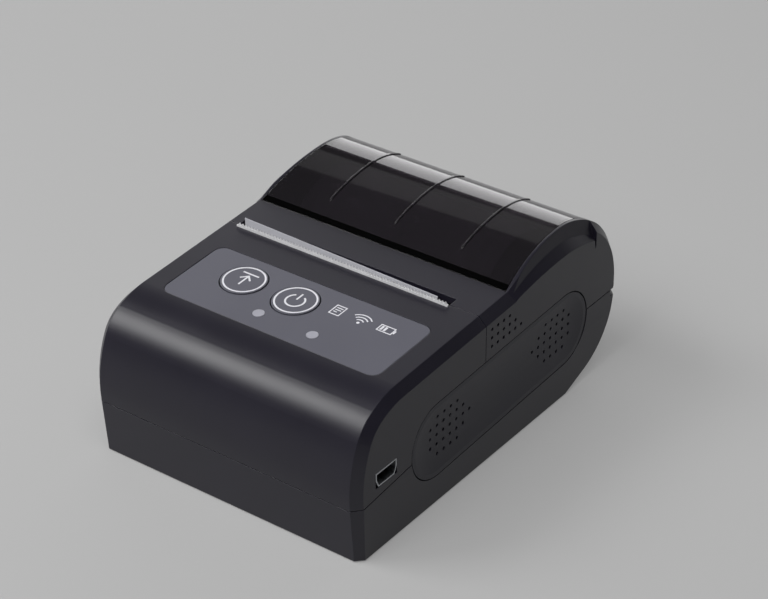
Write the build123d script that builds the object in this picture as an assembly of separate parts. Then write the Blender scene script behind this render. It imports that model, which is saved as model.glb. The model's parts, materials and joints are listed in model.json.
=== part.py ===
from build123d import *
import math
import os

# Pocket thermal printer for 58 mm paper. Millimetres, X to the right, Y to the rear, Z up.
# The origin is on the table, under the middle of the casing.

# Casing, seen from outside
WIDTH = 78.0
LENGTH = 107.2
FOOT_HEIGHT = 0.4
WALL = 1.9
EDGE_CHAMFER = 2.2
SIDE_DRAFT = 0.4
SEAM_GAP = 0.25
FIT_GAP = 0.12

# Side view of the casing, front end: a leaning face, then three arcs up to the flat top
FRONT_LEAN = 4.6
FRONT_LEAN_TOP_Z = 15.5
FRONT_ARCS = ((31.0, 30.6), (12.0, 38.0))
FRONT_LAST_RADIUS = 22.0
TOP_SLOPE = 2.8

# Side view of the casing, rear end: the raised window arch and the round back
WINDOW_FRONT_Y = 7.2
CREST_Z = 47.1
BACK_FLAT = 3.6
LOWER_REAR_RADIUS = 20.5
LOWER_REAR_TURN = 70.0

# Shoulders beside the window arch
SHOULDER_FRONT_Y = 6.0
SHOULDER_CREST_AHEAD = 2.0
SHOULDER_DROP = 3.3
SHOULDER_REAR_RADIUS = 39.5
SHOULDER_REAR_TURN = 22.0
SHOULDER_END_IN = 11.3
ARCH_BASE_IN = 2.2
ARCH_LEAN = 1.1

# Parting lines
SEAM_Y = -4.55
FRONT_SPLIT_Z = 15.0
STADIUM_SPLIT_Z = 17.0
REAR_SPLIT_Z = 21.4

# Long rounded side panels
PANEL_FRONT_IN = 30.4
PANEL_FRONT_Z = 18.1
PANEL_REAR_IN = 24.6
PANEL_REAR_Z = 20.2
PANEL_RADIUS = 10.05
PANEL_THICKNESS = 2.3
PANEL_SEAT_WALL = 0.8
PANEL_SEAT_RIM = 1.5
PANEL_SET_IN = 0.1
PANEL_GAP = 0.3
PANEL_DISH = 0.7
PANEL_DISH_RIM = 1.2
DOT_PITCH = 2.6
DOT_RADIUS = 0.45
DOT_DEPTH = 0.5
DOT_COUNTS = (4, 6, 6, 6, 4)
FRONT_DOTS_IN = (4.4, 0.7)
REAR_DOTS_IN = (3.6, 0.3)
CHEEK_DOT_PITCH = 2.4
CHEEK_ROW_PITCH = 2.33
CHEEK_DOT_COUNTS = (4, 5, 6)
CHEEK_DOT_IN = 2.55
CHEEK_DOT_Z = 36.8

# Rear cover, its hinge and its window
HINGE_RADIUS = 1.6
HINGE_PIN_RADIUS = 0.7
HINGE_RUN = 0.05
HINGE_GAP = 0.3
HINGE_EAR_IN = 8.5
HINGE_EAR_WIDTH = 5.0
HINGE_END_IN = 3.0
HINGE_PIN_IN = 1.5
HINGE_EAR_ROOT_Z = 17.5
HINGE_EAR_INSET = 0.1
HINGE_STEM = (1.3, 1.0)
WINDOW_THICKNESS = 1.3
WINDOW_TOP_IN = 0.7
WINDOW_FRONT_IN = 0.5
WINDOW_END_Z = 30.0
WINDOW_LEDGE = 1.3
RIB_SPACING = 19.6
RIB_WIDTH = 0.55
RIB_HEIGHT = 0.25
RIB_FRONT_IN = 6.3
RIB_REAR_RUN = 11.0

# Paper, paper slot and tear bar
PAPER_LEFT_IN = 5.85
PAPER_RIGHT_IN = 14.65
PAPER_THICKNESS = 0.15
PAPER_GAP = 0.2
SLOT_LEFT_OVER = 0.75
SLOT_RIGHT_OVER = 4.45
SLOT_REAR_Y = -1.6
BLADE_REAR_Y = -5.0
BLADE_THICKNESS = 0.5
BLADE_BAND = 0.4
BLADE_DEPTH = 2.6
BLADE_LIP = 1.0
TOOTH_PITCH = 0.9
TOOTH_HEIGHT = 0.65
TONGUE_LEFT_HEIGHT = 1.35
TONGUE_RIGHT_HEIGHT = -0.05

# Platen roller, carried by the cover
PLATEN_Y = 1.4
PLATEN_Z = 34.2
PLATEN_RADIUS = 4.25
PLATEN_SHAFT_RADIUS = 1.5
ROLLER_OVER = 0.15
PLATEN_END_GAP = 0.35
BUSH_RADIUS = 2.4
BUSH_RUN = 0.05
ARM_THICKNESS = 1.1
ARM_BOTTOM_Z = 31.2
ARM_FRONT_Y = -1.1
ARM_REAR_Y = 7.4

# Print head and its pivot
HEAD_THICKNESS = 0.9
HEAD_HEIGHT = 6.0
HEAD_BOTTOM_Z = 31.4
SINK_THICKNESS = 3.0
SINK_BOTTOM_Z = 31.0
SINK_HEIGHT = 6.8
SINK_PIVOT_RADIUS = 0.6
SINK_PIVOT_RISE = 1.0
HEAD_SIDE_GAP = 0.5

# Steel frame of the print mechanism
FRAME_SHEET = 0.6
FRAME_GAP = 0.3
FRAME_TOP_Z = 37.2
FRAME_FRONT_Y = -19.5
FRAME_FRONT_TOP_Z = 22.0
FRAME_STEP = (2.6, 31.0)
FRAME_REAR_Y = 6.6
CROSS_Y = -9.5
CROSS_BOTTOM_Z = 31.3
TIE_DEPTH = 7.0
TIE_PAST_BATTERY = 1.0
TIE_MARGIN = 1.8
TIE_PEG_IN = 17.0
TIE_PEG_RADIUS = 0.9
SPRING_THICKNESS = 0.3
SPRING_HALF_LENGTH = 20.5
SPRING_Z = (33.4, 36.0)
SPRING_CLEARANCE = 0.25

# Gear train
GEAR_MODULE = 0.5
GEAR_ADDENDUM = 0.8
GEAR_DEDENDUM = 1.15
GEAR_BACKLASH = 0.10
PRESSURE_ANGLE = 20.0
PLATEN_TEETH = 18
SMALL_TEETH = 14
LARGE_TEETH = 28
PINION_TEETH = 14
GEAR_WIDTH = 2.1
GEAR_LAYER_GAP = 0.4
GEAR_END_GAP = 0.3
IDLER_DIRECTION = -115.0
MOTOR_DIRECTION = -165.0
AXLE_RADIUS = 0.75
MOTOR_RADIUS = 7.0
MOTOR_LENGTH = 13.4
MOTOR_END_CAP = 1.0
MOTOR_TAB = (0.6, 0.5, 3.0)
MOTOR_SHAFT_RADIUS = 0.75

# Paper roll and tray
ROLL_RADIUS = 18.0
CORE_RADIUS = 7.0
CORE_WALL = 1.0
TRAY_CLEARANCE = 0.9
TRAY_WALL = 1.0
TRAY_ROLL_GAP = 0.5
TRAY_FLOOR_GAP = 0.5
TRAY_BACK_GAP = 0.8
TRAY_END_GAP = 1.6
TRAY_REAR_ANGLE = 15.0
TRAY_SIDE_GAP = 0.45
TRAY_SIDE_TOP_Z = 31.0
TRAY_FRONT_GAP = 2.24
TRAY_NOTCH = 3.0
TRAY_RIB_IN = 14.0
TRAY_RIB_WIDTH = 1.5
TRAY_RIB_TOP_Z = 8.0
ROLL_WEB_GAP = 0.3
SENSOR_SIZE = (6.0, 4.0, 2.0)
SENSOR_DOWN = 9.0

# Keys, lamps and label plate on the flat top
LABEL_SIDE_IN = 7.55
LABEL_FRONT_IN = 17.0
LABEL_LENGTH = 22.35
LABEL_CORNER = 2.6
LABEL_THICKNESS = 0.75
LABEL_SET_IN = 0.05
KEY_RADIUS = 5.7
KEY_SIDE_IN = (14.05, 29.45)
KEY_IN = 13.8
KEY_PROUD = 0.1
KEY_FLANGE = 0.7
KEY_FLANGE_THICKNESS = 0.8
KEY_GAP = 0.3
KEY_STEM_RADIUS = 2.0
KEY_TRAVEL = 0.6
LAMP_RADIUS = 1.5
LAMP_SIDE_IN = (25.45, 41.15)
LAMP_IN = 5.2
LAMP_FLANGE = (0.7, 0.8)
LAMP_PIPE_STEP = 0.4
KEY_BOARD_DEPTH = 7.0
KEY_BOARD_THICKNESS = 1.2
KEY_BOARD_SIDE_IN = 3.45
KEY_BOARD_DEEP = 17.0
KEY_BOARD_IN = 10.3
KEY_BOARD_CORNER = 1.0
KEY_BOARD_POST_IN = (2.3, 2.3)
SWITCH_SIZE = 6.0
SWITCH_HEIGHT = 3.2
PLUNGER_RADIUS = 1.7
PLUNGER_RISE = 0.8
PLUNGER_REACH = 1.4
KEY_SCREW_TOP = 3.2
LAMP_CHIP = (1.6, 0.8, 0.7)

# Main board, socket and battery
BOARD_SIDE_IN = 4.1
BOARD_FRONT_IN = 6.2
BOARD_REAR_GAP = 0.5
BOARD_TOP_Z = 18.2
BOARD_THICKNESS = 1.2
SOCKET_IN = 10.7
SOCKET_SIZE = (9.2, 7.7, 3.9)
SOCKET_METAL = 0.35
SOCKET_BACK = 1.5
SOCKET_CORNER = 0.9
SOCKET_TONGUE = (6.0, 4.6, 0.9)
WIRELESS_SIZE = (13.0, 15.0, 1.0)
WIRELESS_AT = (-16.5, 9.4)
SHIELD_SIZE = (10.5, 11.0, 1.6)
SHIELD_REAR_IN = 1.0
PROCESSOR_SIZE = (8.0, 8.0, 1.0)
PROCESSOR_AT = (7.5, 13.4)
DRIVER_SIZE = (5.0, 6.4, 1.1)
DRIVER_X = 16.0
DRIVER_AHEAD = 8.1
COIL_RADIUS = 3.4
COIL_HEIGHT = 3.2
COIL_AT = (22.0, 6.9)
BUZZER_RADIUS = 4.5
BUZZER_HEIGHT = 4.0
BUZZER_AT = (-4.0, 5.4)
BUZZER_MOUTH = (0.8, 1.0)
CONNECTOR_DEPTH = 3.0
CONNECTOR_HEIGHT = 2.6
CONNECTOR_REAR_IN = 1.4
CONNECTOR_WALL = 1.0
CONNECTOR_MOUTH_Z = 1.56
RIBBON_THICKNESS = 0.3
HEAD_RIBBON_WIDTH = 20.0
HEAD_RIBBON_IN = 7.15
HEAD_RIBBON_GAP = 0.4
MOTOR_RIBBON_WIDTH = 6.0
MOTOR_RIBBON_IN = 3.75
KEY_RIBBON = (-4.0, 3.0)
KEY_RIBBON_IN = 7.1
CONTACT_BLOCK = (12.0, 3.0)
CONTACT_Y = -12.0
BATTERY_SIDE_IN = 8.5
BATTERY_FRONT_IN = 9.1
BATTERY_REAR_Y = 3.0
BATTERY_BOTTOM_Z = 2.6
BATTERY_TOP_Z = 15.6
BATTERY_CORNER = 2.0
BAY_WALL = 0.8
BAY_GAP = 0.3
DOOR_THICKNESS = 1.2
DOOR_LIP = 1.0
DOOR_GAP = 0.15
DOOR_PIN_RADIUS = 0.4
DOOR_PIN_LENGTH = 1.2
DOOR_BARREL_RADIUS = 0.8
DOOR_BARREL_GAP = 0.3
DOOR_RIB_IN = 21.0
DOOR_RIB_WIDTH = 1.2
DOOR_RIB_END_IN = 6.0
DOOR_SCOOP_RADIUS = 7.0
DOOR_SCOOP_DEPTH = 0.5

# Screws, posts and feet
POST_RADIUS = 2.6
UPPER_POST_RADIUS = 2.2
POST_FRONT_IN = (13.0, 5.2)
POST_REAR_IN = (5.5, 6.6)
POST_WEB = 1.2
POST_GAP = 0.3
SCREW_RADIUS = 1.0
SCREW_HEAD_RADIUS = 1.65
SCREW_HEAD_HEIGHT = 1.3
SCREW_SEAT_Z = 9.0
SCREW_LENGTH = 12.0
SCREW_HOLE_GAP = 0.1
SCREW_HEAD_GAP = 0.3
STANDOFF_RADIUS = 1.8
STANDOFF_IN = (5.8, 1.9)
BOARD_SCREW_RADIUS = 0.8
BOARD_SCREW_HEAD = 1.5
BOARD_SCREW_HEAD_HEIGHT = 0.9
BOARD_SCREW_LENGTH = 5.0
LEAD_CLEARANCE = 0.2
FOOT_RADIUS = 2.6
FOOT_POCKET = 0.6
FOOT_THICKNESS = 1.0
FOOT_SIDE_IN = 6.5
FOOT_FRONT_IN = 5.1
FOOT_REAR_IN = 27.6
WALL_ROOT = 0.76

# Worked out from the sizes above: the casing and what is measured from its sides and ends
HALF_WIDTH = WIDTH / 2
FRONT_END = -LENGTH / 2
REAR_END = LENGTH / 2
INNER_HALF = HALF_WIDTH - WALL
FLOOR_Z = FOOT_HEIGHT + WALL
CREST_CENTRE_Z = FOOT_HEIGHT + LOWER_REAR_RADIUS + BACK_FLAT
REAR_RADIUS = CREST_Z - CREST_CENTRE_Z
CREST_Y = REAR_END - REAR_RADIUS
SHOULDER_CREST_Y = CREST_Y - SHOULDER_CREST_AHEAD
SHOULDER_CREST_Z = CREST_Z - SHOULDER_DROP
SHOULDER_END_Y = REAR_END - SHOULDER_END_IN
ARCH_BASE_HALF = HALF_WIDTH - ARCH_BASE_IN
ARCH_TOP_HALF = ARCH_BASE_HALF - ARCH_LEAN
WINDOW_FRONT_HALF = ARCH_BASE_HALF - WINDOW_FRONT_IN
WINDOW_TOP_HALF = ARCH_TOP_HALF - WINDOW_TOP_IN
RIB_FRONT_Y = WINDOW_FRONT_Y + RIB_FRONT_IN
RIB_REAR_Y = CREST_Y + RIB_REAR_RUN
HINGE_Y = REAR_END - HINGE_RADIUS
HINGE_Z = REAR_SPLIT_Z
HINGE_EAR_X = HALF_WIDTH - HINGE_EAR_IN
HINGE_HALF_LENGTH = HALF_WIDTH - HINGE_END_IN
HINGE_PIN_HALF = HINGE_HALF_LENGTH - HINGE_PIN_IN
PANEL_FRONT_Y = FRONT_END + PANEL_FRONT_IN
PANEL_REAR_Y = REAR_END - PANEL_REAR_IN
PANEL_FACE_X = HALF_WIDTH - PANEL_SET_IN
PANEL_SEAT_X = PANEL_FACE_X - PANEL_THICKNESS
LABEL_HALF_WIDTH = HALF_WIDTH - LABEL_SIDE_IN
LABEL_FRONT_Y = FRONT_END + LABEL_FRONT_IN
KEY_X = tuple(x - LABEL_HALF_WIDTH for x in KEY_SIDE_IN)
LAMP_X = tuple(x - LABEL_HALF_WIDTH for x in LAMP_SIDE_IN)
KEY_BOARD_SIZE = (2 * (LABEL_HALF_WIDTH - KEY_BOARD_SIDE_IN), KEY_BOARD_DEEP)
KEY_Y = LABEL_FRONT_Y + KEY_IN
LAMP_Y = LABEL_FRONT_Y + LAMP_IN
KEY_BOARD_Y = LABEL_FRONT_Y + KEY_BOARD_IN
KEY_RIBBON_Y = LABEL_FRONT_Y + KEY_RIBBON_IN
BATTERY_HALF_WIDTH = HALF_WIDTH - BATTERY_SIDE_IN
BATTERY_FRONT_Y = FRONT_END + BATTERY_FRONT_IN
TIE_Y = (BATTERY_REAR_Y + TIE_PAST_BATTERY - TIE_DEPTH, BATTERY_REAR_Y + TIE_PAST_BATTERY)
TIE_PEG_X = HALF_WIDTH - TIE_PEG_IN
BOARD_HALF_WIDTH = HALF_WIDTH - BOARD_SIDE_IN
BOARD_FRONT_Y = FRONT_END + BOARD_FRONT_IN
BOARD_REAR_Y = FRAME_FRONT_Y - BOARD_REAR_GAP
CONNECTOR_REAR_Y = BOARD_REAR_Y - CONNECTOR_REAR_IN
SOCKET_Y = FRONT_END + SOCKET_IN
POST_FRONT = (HALF_WIDTH - POST_FRONT_IN[0], FRONT_END + POST_FRONT_IN[1])
POST_REAR = (HALF_WIDTH - POST_REAR_IN[0], BOARD_REAR_Y - POST_REAR_IN[1])
STANDOFF_X = HALF_WIDTH - STANDOFF_IN[0]
STANDOFF_Y = ((SOCKET_Y + SOCKET_SIZE[1] / 2 + POST_REAR[1] - POST_RADIUS) / 2, BOARD_REAR_Y - STANDOFF_IN[1])
TRAY_HALF_WIDTH = INNER_HALF - TRAY_END_GAP
TRAY_RIB_X = HALF_WIDTH - TRAY_RIB_IN
DOOR_RIB_X = HALF_WIDTH - DOOR_RIB_IN
FOOT_X = HALF_WIDTH - FOOT_SIDE_IN
FOOT_Y = (FRONT_END + FOOT_FRONT_IN, REAR_END - FOOT_REAR_IN)
FAR = 80.0

NODES = {}


def rad(degrees):
    """Degrees as radians."""
    return math.radians(degrees)


def side_face(edges):
    """A face in the side view: local x is Y and local y is Z."""
    return make_face(edges)


def side_prism(face, x_from, x_to):
    """The side-view face, solid between two X values."""
    return extrude(Plane.YZ.offset(x_from) * face, amount=x_to - x_from)


def side_polygon(points, x_from, x_to):
    """A polygon of (Y, Z) points, solid between two X values."""
    return side_prism(make_face(Polyline(*points, close=True)), x_from, x_to)


def box(x0, x1, y0, y1, z0, z1):
    """A block between two X, two Y and two Z values."""
    return Pos((x0 + x1) / 2, (y0 + y1) / 2, (z0 + z1) / 2) * Box(x1 - x0, y1 - y0, z1 - z0)


def rod(x0, x1, y, z, radius):
    """A round bar along X."""
    return Pos((x0 + x1) / 2, y, z) * Rot(0, 90, 0) * Cylinder(radius, x1 - x0)


def post(x, y, z0, z1, radius):
    """A round bar along Z."""
    return Pos(x, y, (z0 + z1) / 2) * Cylinder(radius, z1 - z0)


def both_sides(solid):
    """The solid with its mirror image on the other side of the casing."""
    return solid + mirror(solid, Plane.YZ)


def arc_move(point, heading, radius, turn):
    """End point of an arc that bends to the right of its heading."""
    start, end = rad(heading), rad(heading - turn)
    return (point[0] + radius * (math.sin(start) - math.sin(end)),
            point[1] - radius * (math.cos(start) - math.cos(end)))


def arc_edge(point, heading, radius, turn):
    """The arc that arc_move follows, as an edge."""
    return ThreePointArc(point, arc_move(point, heading, radius, turn / 2),
                         arc_move(point, heading, radius, turn))


def front_chain():
    """Edges of the front end from the bottom up, and the point where the flat top starts."""
    heading = 90 + FRONT_LEAN
    start = (FRONT_END + FRONT_ARCS[0][0] * (1 - math.cos(rad(FRONT_LEAN))), FRONT_LEAN_TOP_Z)
    drop = FRONT_LEAN_TOP_Z + EDGE_CHAMFER + WALL * 2
    foot = (start[0] + drop * math.tan(rad(FRONT_LEAN)), start[1] - drop)
    edges = [Line(foot, start)]
    point = start
    last_turn = heading - sum(turn for _, turn in FRONT_ARCS) - TOP_SLOPE
    for radius, turn in FRONT_ARCS + ((FRONT_LAST_RADIUS, last_turn),):
        edges.append(arc_edge(point, heading, radius, turn))
        point = arc_move(point, heading, radius, turn)
        heading -= turn
    return edges, foot, point


FRONT_EDGES, FRONT_FOOT, TOP_START = front_chain()


def top_z(y):
    """Height of the flat top at a given Y."""
    return TOP_START[1] + (y - TOP_START[0]) * math.tan(rad(TOP_SLOPE))


def rising_arc(start, crest):
    """Arc from a corner up to a crest where it runs level."""
    dy, dz = crest[0] - start[0], crest[1] - start[1]
    radius = (dy * dy + dz * dz) / (2 * dz)
    half = math.atan2(dz, dy)
    middle = (crest[0] - radius * math.sin(half), crest[1] - radius * (1 - math.cos(half)))
    return ThreePointArc(start, middle, crest)


def casing_face():
    """Side view of the whole casing, carried on below the table so that its edges can be chamfered."""
    kink = (WINDOW_FRONT_Y, top_z(WINDOW_FRONT_Y))
    crest = (CREST_Y, CREST_Z)
    back = (REAR_END, CREST_CENTRE_Z)
    lower = (REAR_END, FOOT_HEIGHT + LOWER_REAR_RADIUS)
    tail = arc_move(lower, -90, LOWER_REAR_RADIUS, LOWER_REAR_TURN)
    slope = math.tan(rad(90 - LOWER_REAR_TURN))
    end = (tail[0] - (tail[1] - FRONT_FOOT[1]) / slope, FRONT_FOOT[1])
    edges = FRONT_EDGES + [
        Line(TOP_START, kink), rising_arc(kink, crest), arc_edge(crest, 0, REAR_RADIUS, 90),
        Line(back, lower), arc_edge(lower, -90, LOWER_REAR_RADIUS, LOWER_REAR_TURN),
        Line(tail, end), Line(end, FRONT_FOOT)]
    return side_face(edges)


def shoulder_face():
    """Side view of the casing without the raised arch, down to the shoulders beside the window."""
    kink = (SHOULDER_FRONT_Y, top_z(SHOULDER_FRONT_Y))
    crest = (SHOULDER_CREST_Y, SHOULDER_CREST_Z)
    tail = arc_move(crest, 0, SHOULDER_REAR_RADIUS, SHOULDER_REAR_TURN)
    end = (tail[0], FRONT_FOOT[1])
    edges = FRONT_EDGES + [
        Line(TOP_START, kink), rising_arc(kink, crest),
        arc_edge(crest, 0, SHOULDER_REAR_RADIUS, SHOULDER_REAR_TURN),
        Line(tail, end), Line(end, FRONT_FOOT)]
    return side_face(edges)


def chamfered(face, half_width, chamfer_size):
    """The side-view face as a body along X with its long edges chamfered."""
    inner = half_width - chamfer_size
    small = offset(face, amount=-chamfer_size, kind=Kind.INTERSECTION)
    cap = loft([Plane.YZ.offset(inner) * face, Plane.YZ.offset(half_width) * small], ruled=True)
    return side_prism(face, -inner, inner) + both_sides(cap)


def casing_body(inset):
    """Outer shape of the casing, or that shape with every face moved in by the inset."""
    outline, shoulder = casing_face(), shoulder_face()
    if inset > 0:
        outline = offset(outline, amount=-inset, kind=Kind.INTERSECTION)
        shoulder = offset(shoulder, amount=-inset, kind=Kind.INTERSECTION)
    chamfer_size = EDGE_CHAMFER - inset * (2 - math.sqrt(2))
    half_width = HALF_WIDTH - inset
    body = chamfered(outline, half_width, chamfer_size)
    lean = (ARCH_BASE_HALF - ARCH_TOP_HALF) / (CREST_Z - SHOULDER_CREST_Z)
    low_z, high_z = SHOULDER_CREST_Z - 8, CREST_Z + 1
    flank = make_face(Polyline(
        (ARCH_BASE_HALF - inset + lean * (SHOULDER_CREST_Z - low_z), low_z), (FAR, low_z), (FAR, high_z),
        (ARCH_BASE_HALF - inset - lean * (high_z - SHOULDER_CREST_Z), high_z), close=True))
    end_y = SHOULDER_END_Y + inset
    side_block = extrude(Plane.XZ.offset(-end_y) * flank, amount=end_y - FRONT_END)
    body = body - (both_sides(side_block) - chamfered(shoulder, half_width, chamfer_size))
    bottom = FOOT_HEIGHT + inset
    return body - box(-FAR, FAR, -FAR, FAR, bottom - FAR, bottom)


def top_frame(x, y):
    """A place on the flat top whose Z points out of the casing."""
    slope = rad(TOP_SLOPE)
    normal = (0, -math.sin(slope), math.cos(slope))
    return Plane(origin=(x, y, top_z(y)), x_dir=(1, 0, 0), z_dir=normal).location


def top_disc(x, y, radius, depth_from, depth_to):
    """A round bar square to the flat top, between two depths below it."""
    middle = -(depth_from + depth_to) / 2
    return top_frame(x, y) * Pos(0, 0, middle) * Cylinder(radius, depth_to - depth_from)


def top_block(x, y, size, depth_from, depth_to, corner=0.0):
    """A plate parallel to the flat top, between two depths below it."""
    outline = RectangleRounded(size[0], size[1], corner) if corner > 0 else Rectangle(size[0], size[1])
    plate = extrude(outline, amount=depth_to - depth_from)
    return top_frame(x, y) * Pos(0, 0, -depth_to) * plate


def strip_outline(points, thickness):
    """Closed outline of a strip of even thickness along a line of (Y, Z) points."""
    left, right = [], []
    for index, (y, z) in enumerate(points):
        before = points[max(index - 1, 0)]
        after = points[min(index + 1, len(points) - 1)]
        into = math.atan2(z - before[1], y - before[0]) if index > 0 else None
        out = math.atan2(after[1] - z, after[0] - y) if index < len(points) - 1 else into
        into = out if into is None else into
        middle = (into + out) / 2
        reach = thickness / 2 / math.cos((out - into) / 2)
        left.append((y - reach * math.sin(middle), z + reach * math.cos(middle)))
        right.append((y + reach * math.sin(middle), z - reach * math.cos(middle)))
    return left + right[::-1]


def polar(y, z, radius, angle):
    """A point at an angle around a centre, in the side view."""
    return (y + radius * math.cos(rad(angle)), z + radius * math.sin(rad(angle)))


def circle_points(y, z, radius, angle_from, angle_to, count):
    """Evenly spaced points along an arc, both ends included."""
    step = (angle_to - angle_from) / count
    return [polar(y, z, radius, angle_from + step * i) for i in range(count + 1)]


def panel_shape(x_from, x_to, radius):
    """The long rounded side panel outline as a body along X on the right side."""
    run_y, run_z = PANEL_REAR_Y - PANEL_FRONT_Y, PANEL_REAR_Z - PANEL_FRONT_Z
    slot = SlotCenterToCenter(math.hypot(run_y, run_z), 2 * radius)
    placed = Pos((PANEL_FRONT_Y + PANEL_REAR_Y) / 2, (PANEL_FRONT_Z + PANEL_REAR_Z) / 2) \
        * Rot(0, 0, math.degrees(math.atan2(run_z, run_y))) * slot
    return side_prism(placed, x_from, x_to)


def dot_rows(rows, centre_y, centre_z, pitch):
    """Places of the moulded dots: rows of the given lengths, all centred."""
    places = []
    for row, count in enumerate(rows):
        z = centre_z + pitch * ((len(rows) - 1) / 2 - row)
        places += [(centre_y + pitch * (i - (count - 1) / 2), z) for i in range(count)]
    return places


def split_line(gap):
    """The parting line between the lower shell and the parts above it, lowered by a gap."""
    return [(-FAR, FRONT_SPLIT_Z - gap), (FRONT_END, FRONT_SPLIT_Z - gap),
            (PANEL_FRONT_Y - PANEL_RADIUS, STADIUM_SPLIT_Z - gap),
            (PANEL_REAR_Y + PANEL_RADIUS, REAR_SPLIT_Z - gap), (FAR, REAR_SPLIT_Z - gap)]


def below_split():
    """Space of the lower shell."""
    return side_polygon(split_line(SEAM_GAP) + [(FAR, -FAR), (-FAR, -FAR)], -FAR, FAR)


def above_split():
    """Space of the front housing and the rear cover."""
    return side_polygon(split_line(0) + [(FAR, FAR), (-FAR, FAR)], -FAR, FAR)


def four_corners(places):
    """Places given for the right side, and their mirror images on the left."""
    return [(side * x, y) for x, y in places for side in (-1, 1)]


def key_board_posts():
    """Places of the key board's four screws."""
    x, reach = (size / 2 - inner for size, inner in zip(KEY_BOARD_SIZE, KEY_BOARD_POST_IN))
    return four_corners([(x, KEY_BOARD_Y + reach), (x, KEY_BOARD_Y - reach)])


def gear(teeth, x_from, x_to, y, z, phase):
    """A spur gear with stub involute teeth; the phase is where the middle of one tooth stands."""
    pitch = GEAR_MODULE * teeth / 2
    base = pitch * math.cos(rad(PRESSURE_ANGLE))
    tip = pitch + GEAR_MODULE * GEAR_ADDENDUM
    root = pitch - GEAR_MODULE * GEAR_DEDENDUM
    start = max(root, base)
    radii = [start + (tip - start) * i / 4 for i in range(5)]

    def involute(radius):
        angle = math.acos(min(1.0, base / radius))
        return math.tan(angle) - angle

    def half_tooth(radius):
        return math.pi / 2 / teeth - GEAR_BACKLASH / 2 / pitch + involute(pitch) - involute(radius)

    points = []
    for tooth in range(teeth):
        middle = rad(phase) + 2 * math.pi * tooth / teeth
        flank = [(r, half_tooth(r)) for r in radii]
        if root < start:
            flank = [(root, half_tooth(start))] + flank
        points += [polar(y, z, r, math.degrees(middle - half)) for r, half in flank]
        points += [polar(y, z, r, math.degrees(middle + half)) for r, half in flank[::-1]]
    return side_polygon(points, x_from, x_to)


# Places worked out for the print mechanism, used by more than one piece
ROLL_END_X = (-HALF_WIDTH + PAPER_LEFT_IN, HALF_WIDTH - PAPER_RIGHT_IN)
PAPER_X = (ROLL_END_X[0] + ROLL_END_X[1]) / 2
SLOT_LEFT_X = ROLL_END_X[0] - SLOT_LEFT_OVER
SLOT_RIGHT_X = ROLL_END_X[1] + SLOT_RIGHT_OVER
ROLLER_X = (ROLL_END_X[0] - ROLLER_OVER, ROLL_END_X[1] + ROLLER_OVER)
ARM_X = ((ROLLER_X[0] - PLATEN_END_GAP - ARM_THICKNESS, ROLLER_X[0] - PLATEN_END_GAP),
         (ROLLER_X[1] + PLATEN_END_GAP, ROLLER_X[1] + PLATEN_END_GAP + ARM_THICKNESS))
PLATE_X = ((ARM_X[0][0] - FRAME_GAP - FRAME_SHEET, ARM_X[0][0] - FRAME_GAP),
           (ARM_X[1][1] + FRAME_GAP, ARM_X[1][1] + FRAME_GAP + FRAME_SHEET))
BUSH_X = (PLATE_X[0][0] - FRAME_GAP, PLATE_X[1][1] + FRAME_GAP)
LAYER_A_X = (BUSH_X[1] + GEAR_END_GAP, BUSH_X[1] + GEAR_END_GAP + GEAR_WIDTH)
LAYER_B_X = (LAYER_A_X[1] + GEAR_LAYER_GAP, LAYER_A_X[1] + GEAR_LAYER_GAP + GEAR_WIDTH)
IDLER_REACH = GEAR_MODULE * (PLATEN_TEETH + SMALL_TEETH) / 2
IDLER_Y = PLATEN_Y + IDLER_REACH * math.cos(rad(IDLER_DIRECTION))
IDLER_Z = PLATEN_Z + IDLER_REACH * math.sin(rad(IDLER_DIRECTION))
MOTOR_REACH = GEAR_MODULE * (LARGE_TEETH + PINION_TEETH) / 2
MOTOR_Y = IDLER_Y + MOTOR_REACH * math.cos(rad(MOTOR_DIRECTION))
MOTOR_Z = IDLER_Z + MOTOR_REACH * math.sin(rad(MOTOR_DIRECTION))
WEB_RADIUS = PLATEN_RADIUS + PAPER_GAP + PAPER_THICKNESS / 2
WEB_Y = PLATEN_Y - WEB_RADIUS
HEAD_REAR_Y = WEB_Y - PAPER_THICKNESS / 2 - PAPER_GAP
SINK_REAR_Y = HEAD_REAR_Y - HEAD_THICKNESS
SINK_FRONT_Y = SINK_REAR_Y - SINK_THICKNESS
SINK_X = (PLATE_X[0][1] + HEAD_SIDE_GAP, PLATE_X[1][0] - HEAD_SIDE_GAP)
PIVOT_Y = SINK_REAR_Y - SINK_THICKNESS / 2
PIVOT_Z = SINK_BOTTOM_Z + SINK_PIVOT_RISE
BAY_ROOF_Z = BATTERY_TOP_Z + BAY_GAP + BAY_WALL
BOARD_BOTTOM_Z = BOARD_TOP_Z - BOARD_THICKNESS
TRAY_INNER_RADIUS = ROLL_RADIUS + TRAY_CLEARANCE
TRAY_OUTER_RADIUS = TRAY_INNER_RADIUS + TRAY_WALL
TRAY_Z = FLOOR_Z + TRAY_FLOOR_GAP + TRAY_OUTER_RADIUS
ROLL_Y = REAR_END - WALL - TRAY_BACK_GAP - TRAY_OUTER_RADIUS
ROLL_Z = TRAY_Z - TRAY_INNER_RADIUS + TRAY_ROLL_GAP + ROLL_RADIUS
HEAD_RIBBON = (ROLL_END_X[0] + HEAD_RIBBON_IN, ROLL_END_X[0] + HEAD_RIBBON_IN + HEAD_RIBBON_WIDTH)
MOTOR_RIBBON = (PLATE_X[1][0] - MOTOR_RIBBON_IN - MOTOR_RIBBON_WIDTH, PLATE_X[1][0] - MOTOR_RIBBON_IN)
TRAY_SIDE_X = (ROLL_END_X[0] - TRAY_SIDE_GAP - TRAY_WALL, ROLL_END_X[1] + TRAY_SIDE_GAP + TRAY_WALL)
WEB_ROLL_RADIUS = ROLL_RADIUS + ROLL_WEB_GAP + PAPER_THICKNESS / 2
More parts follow.
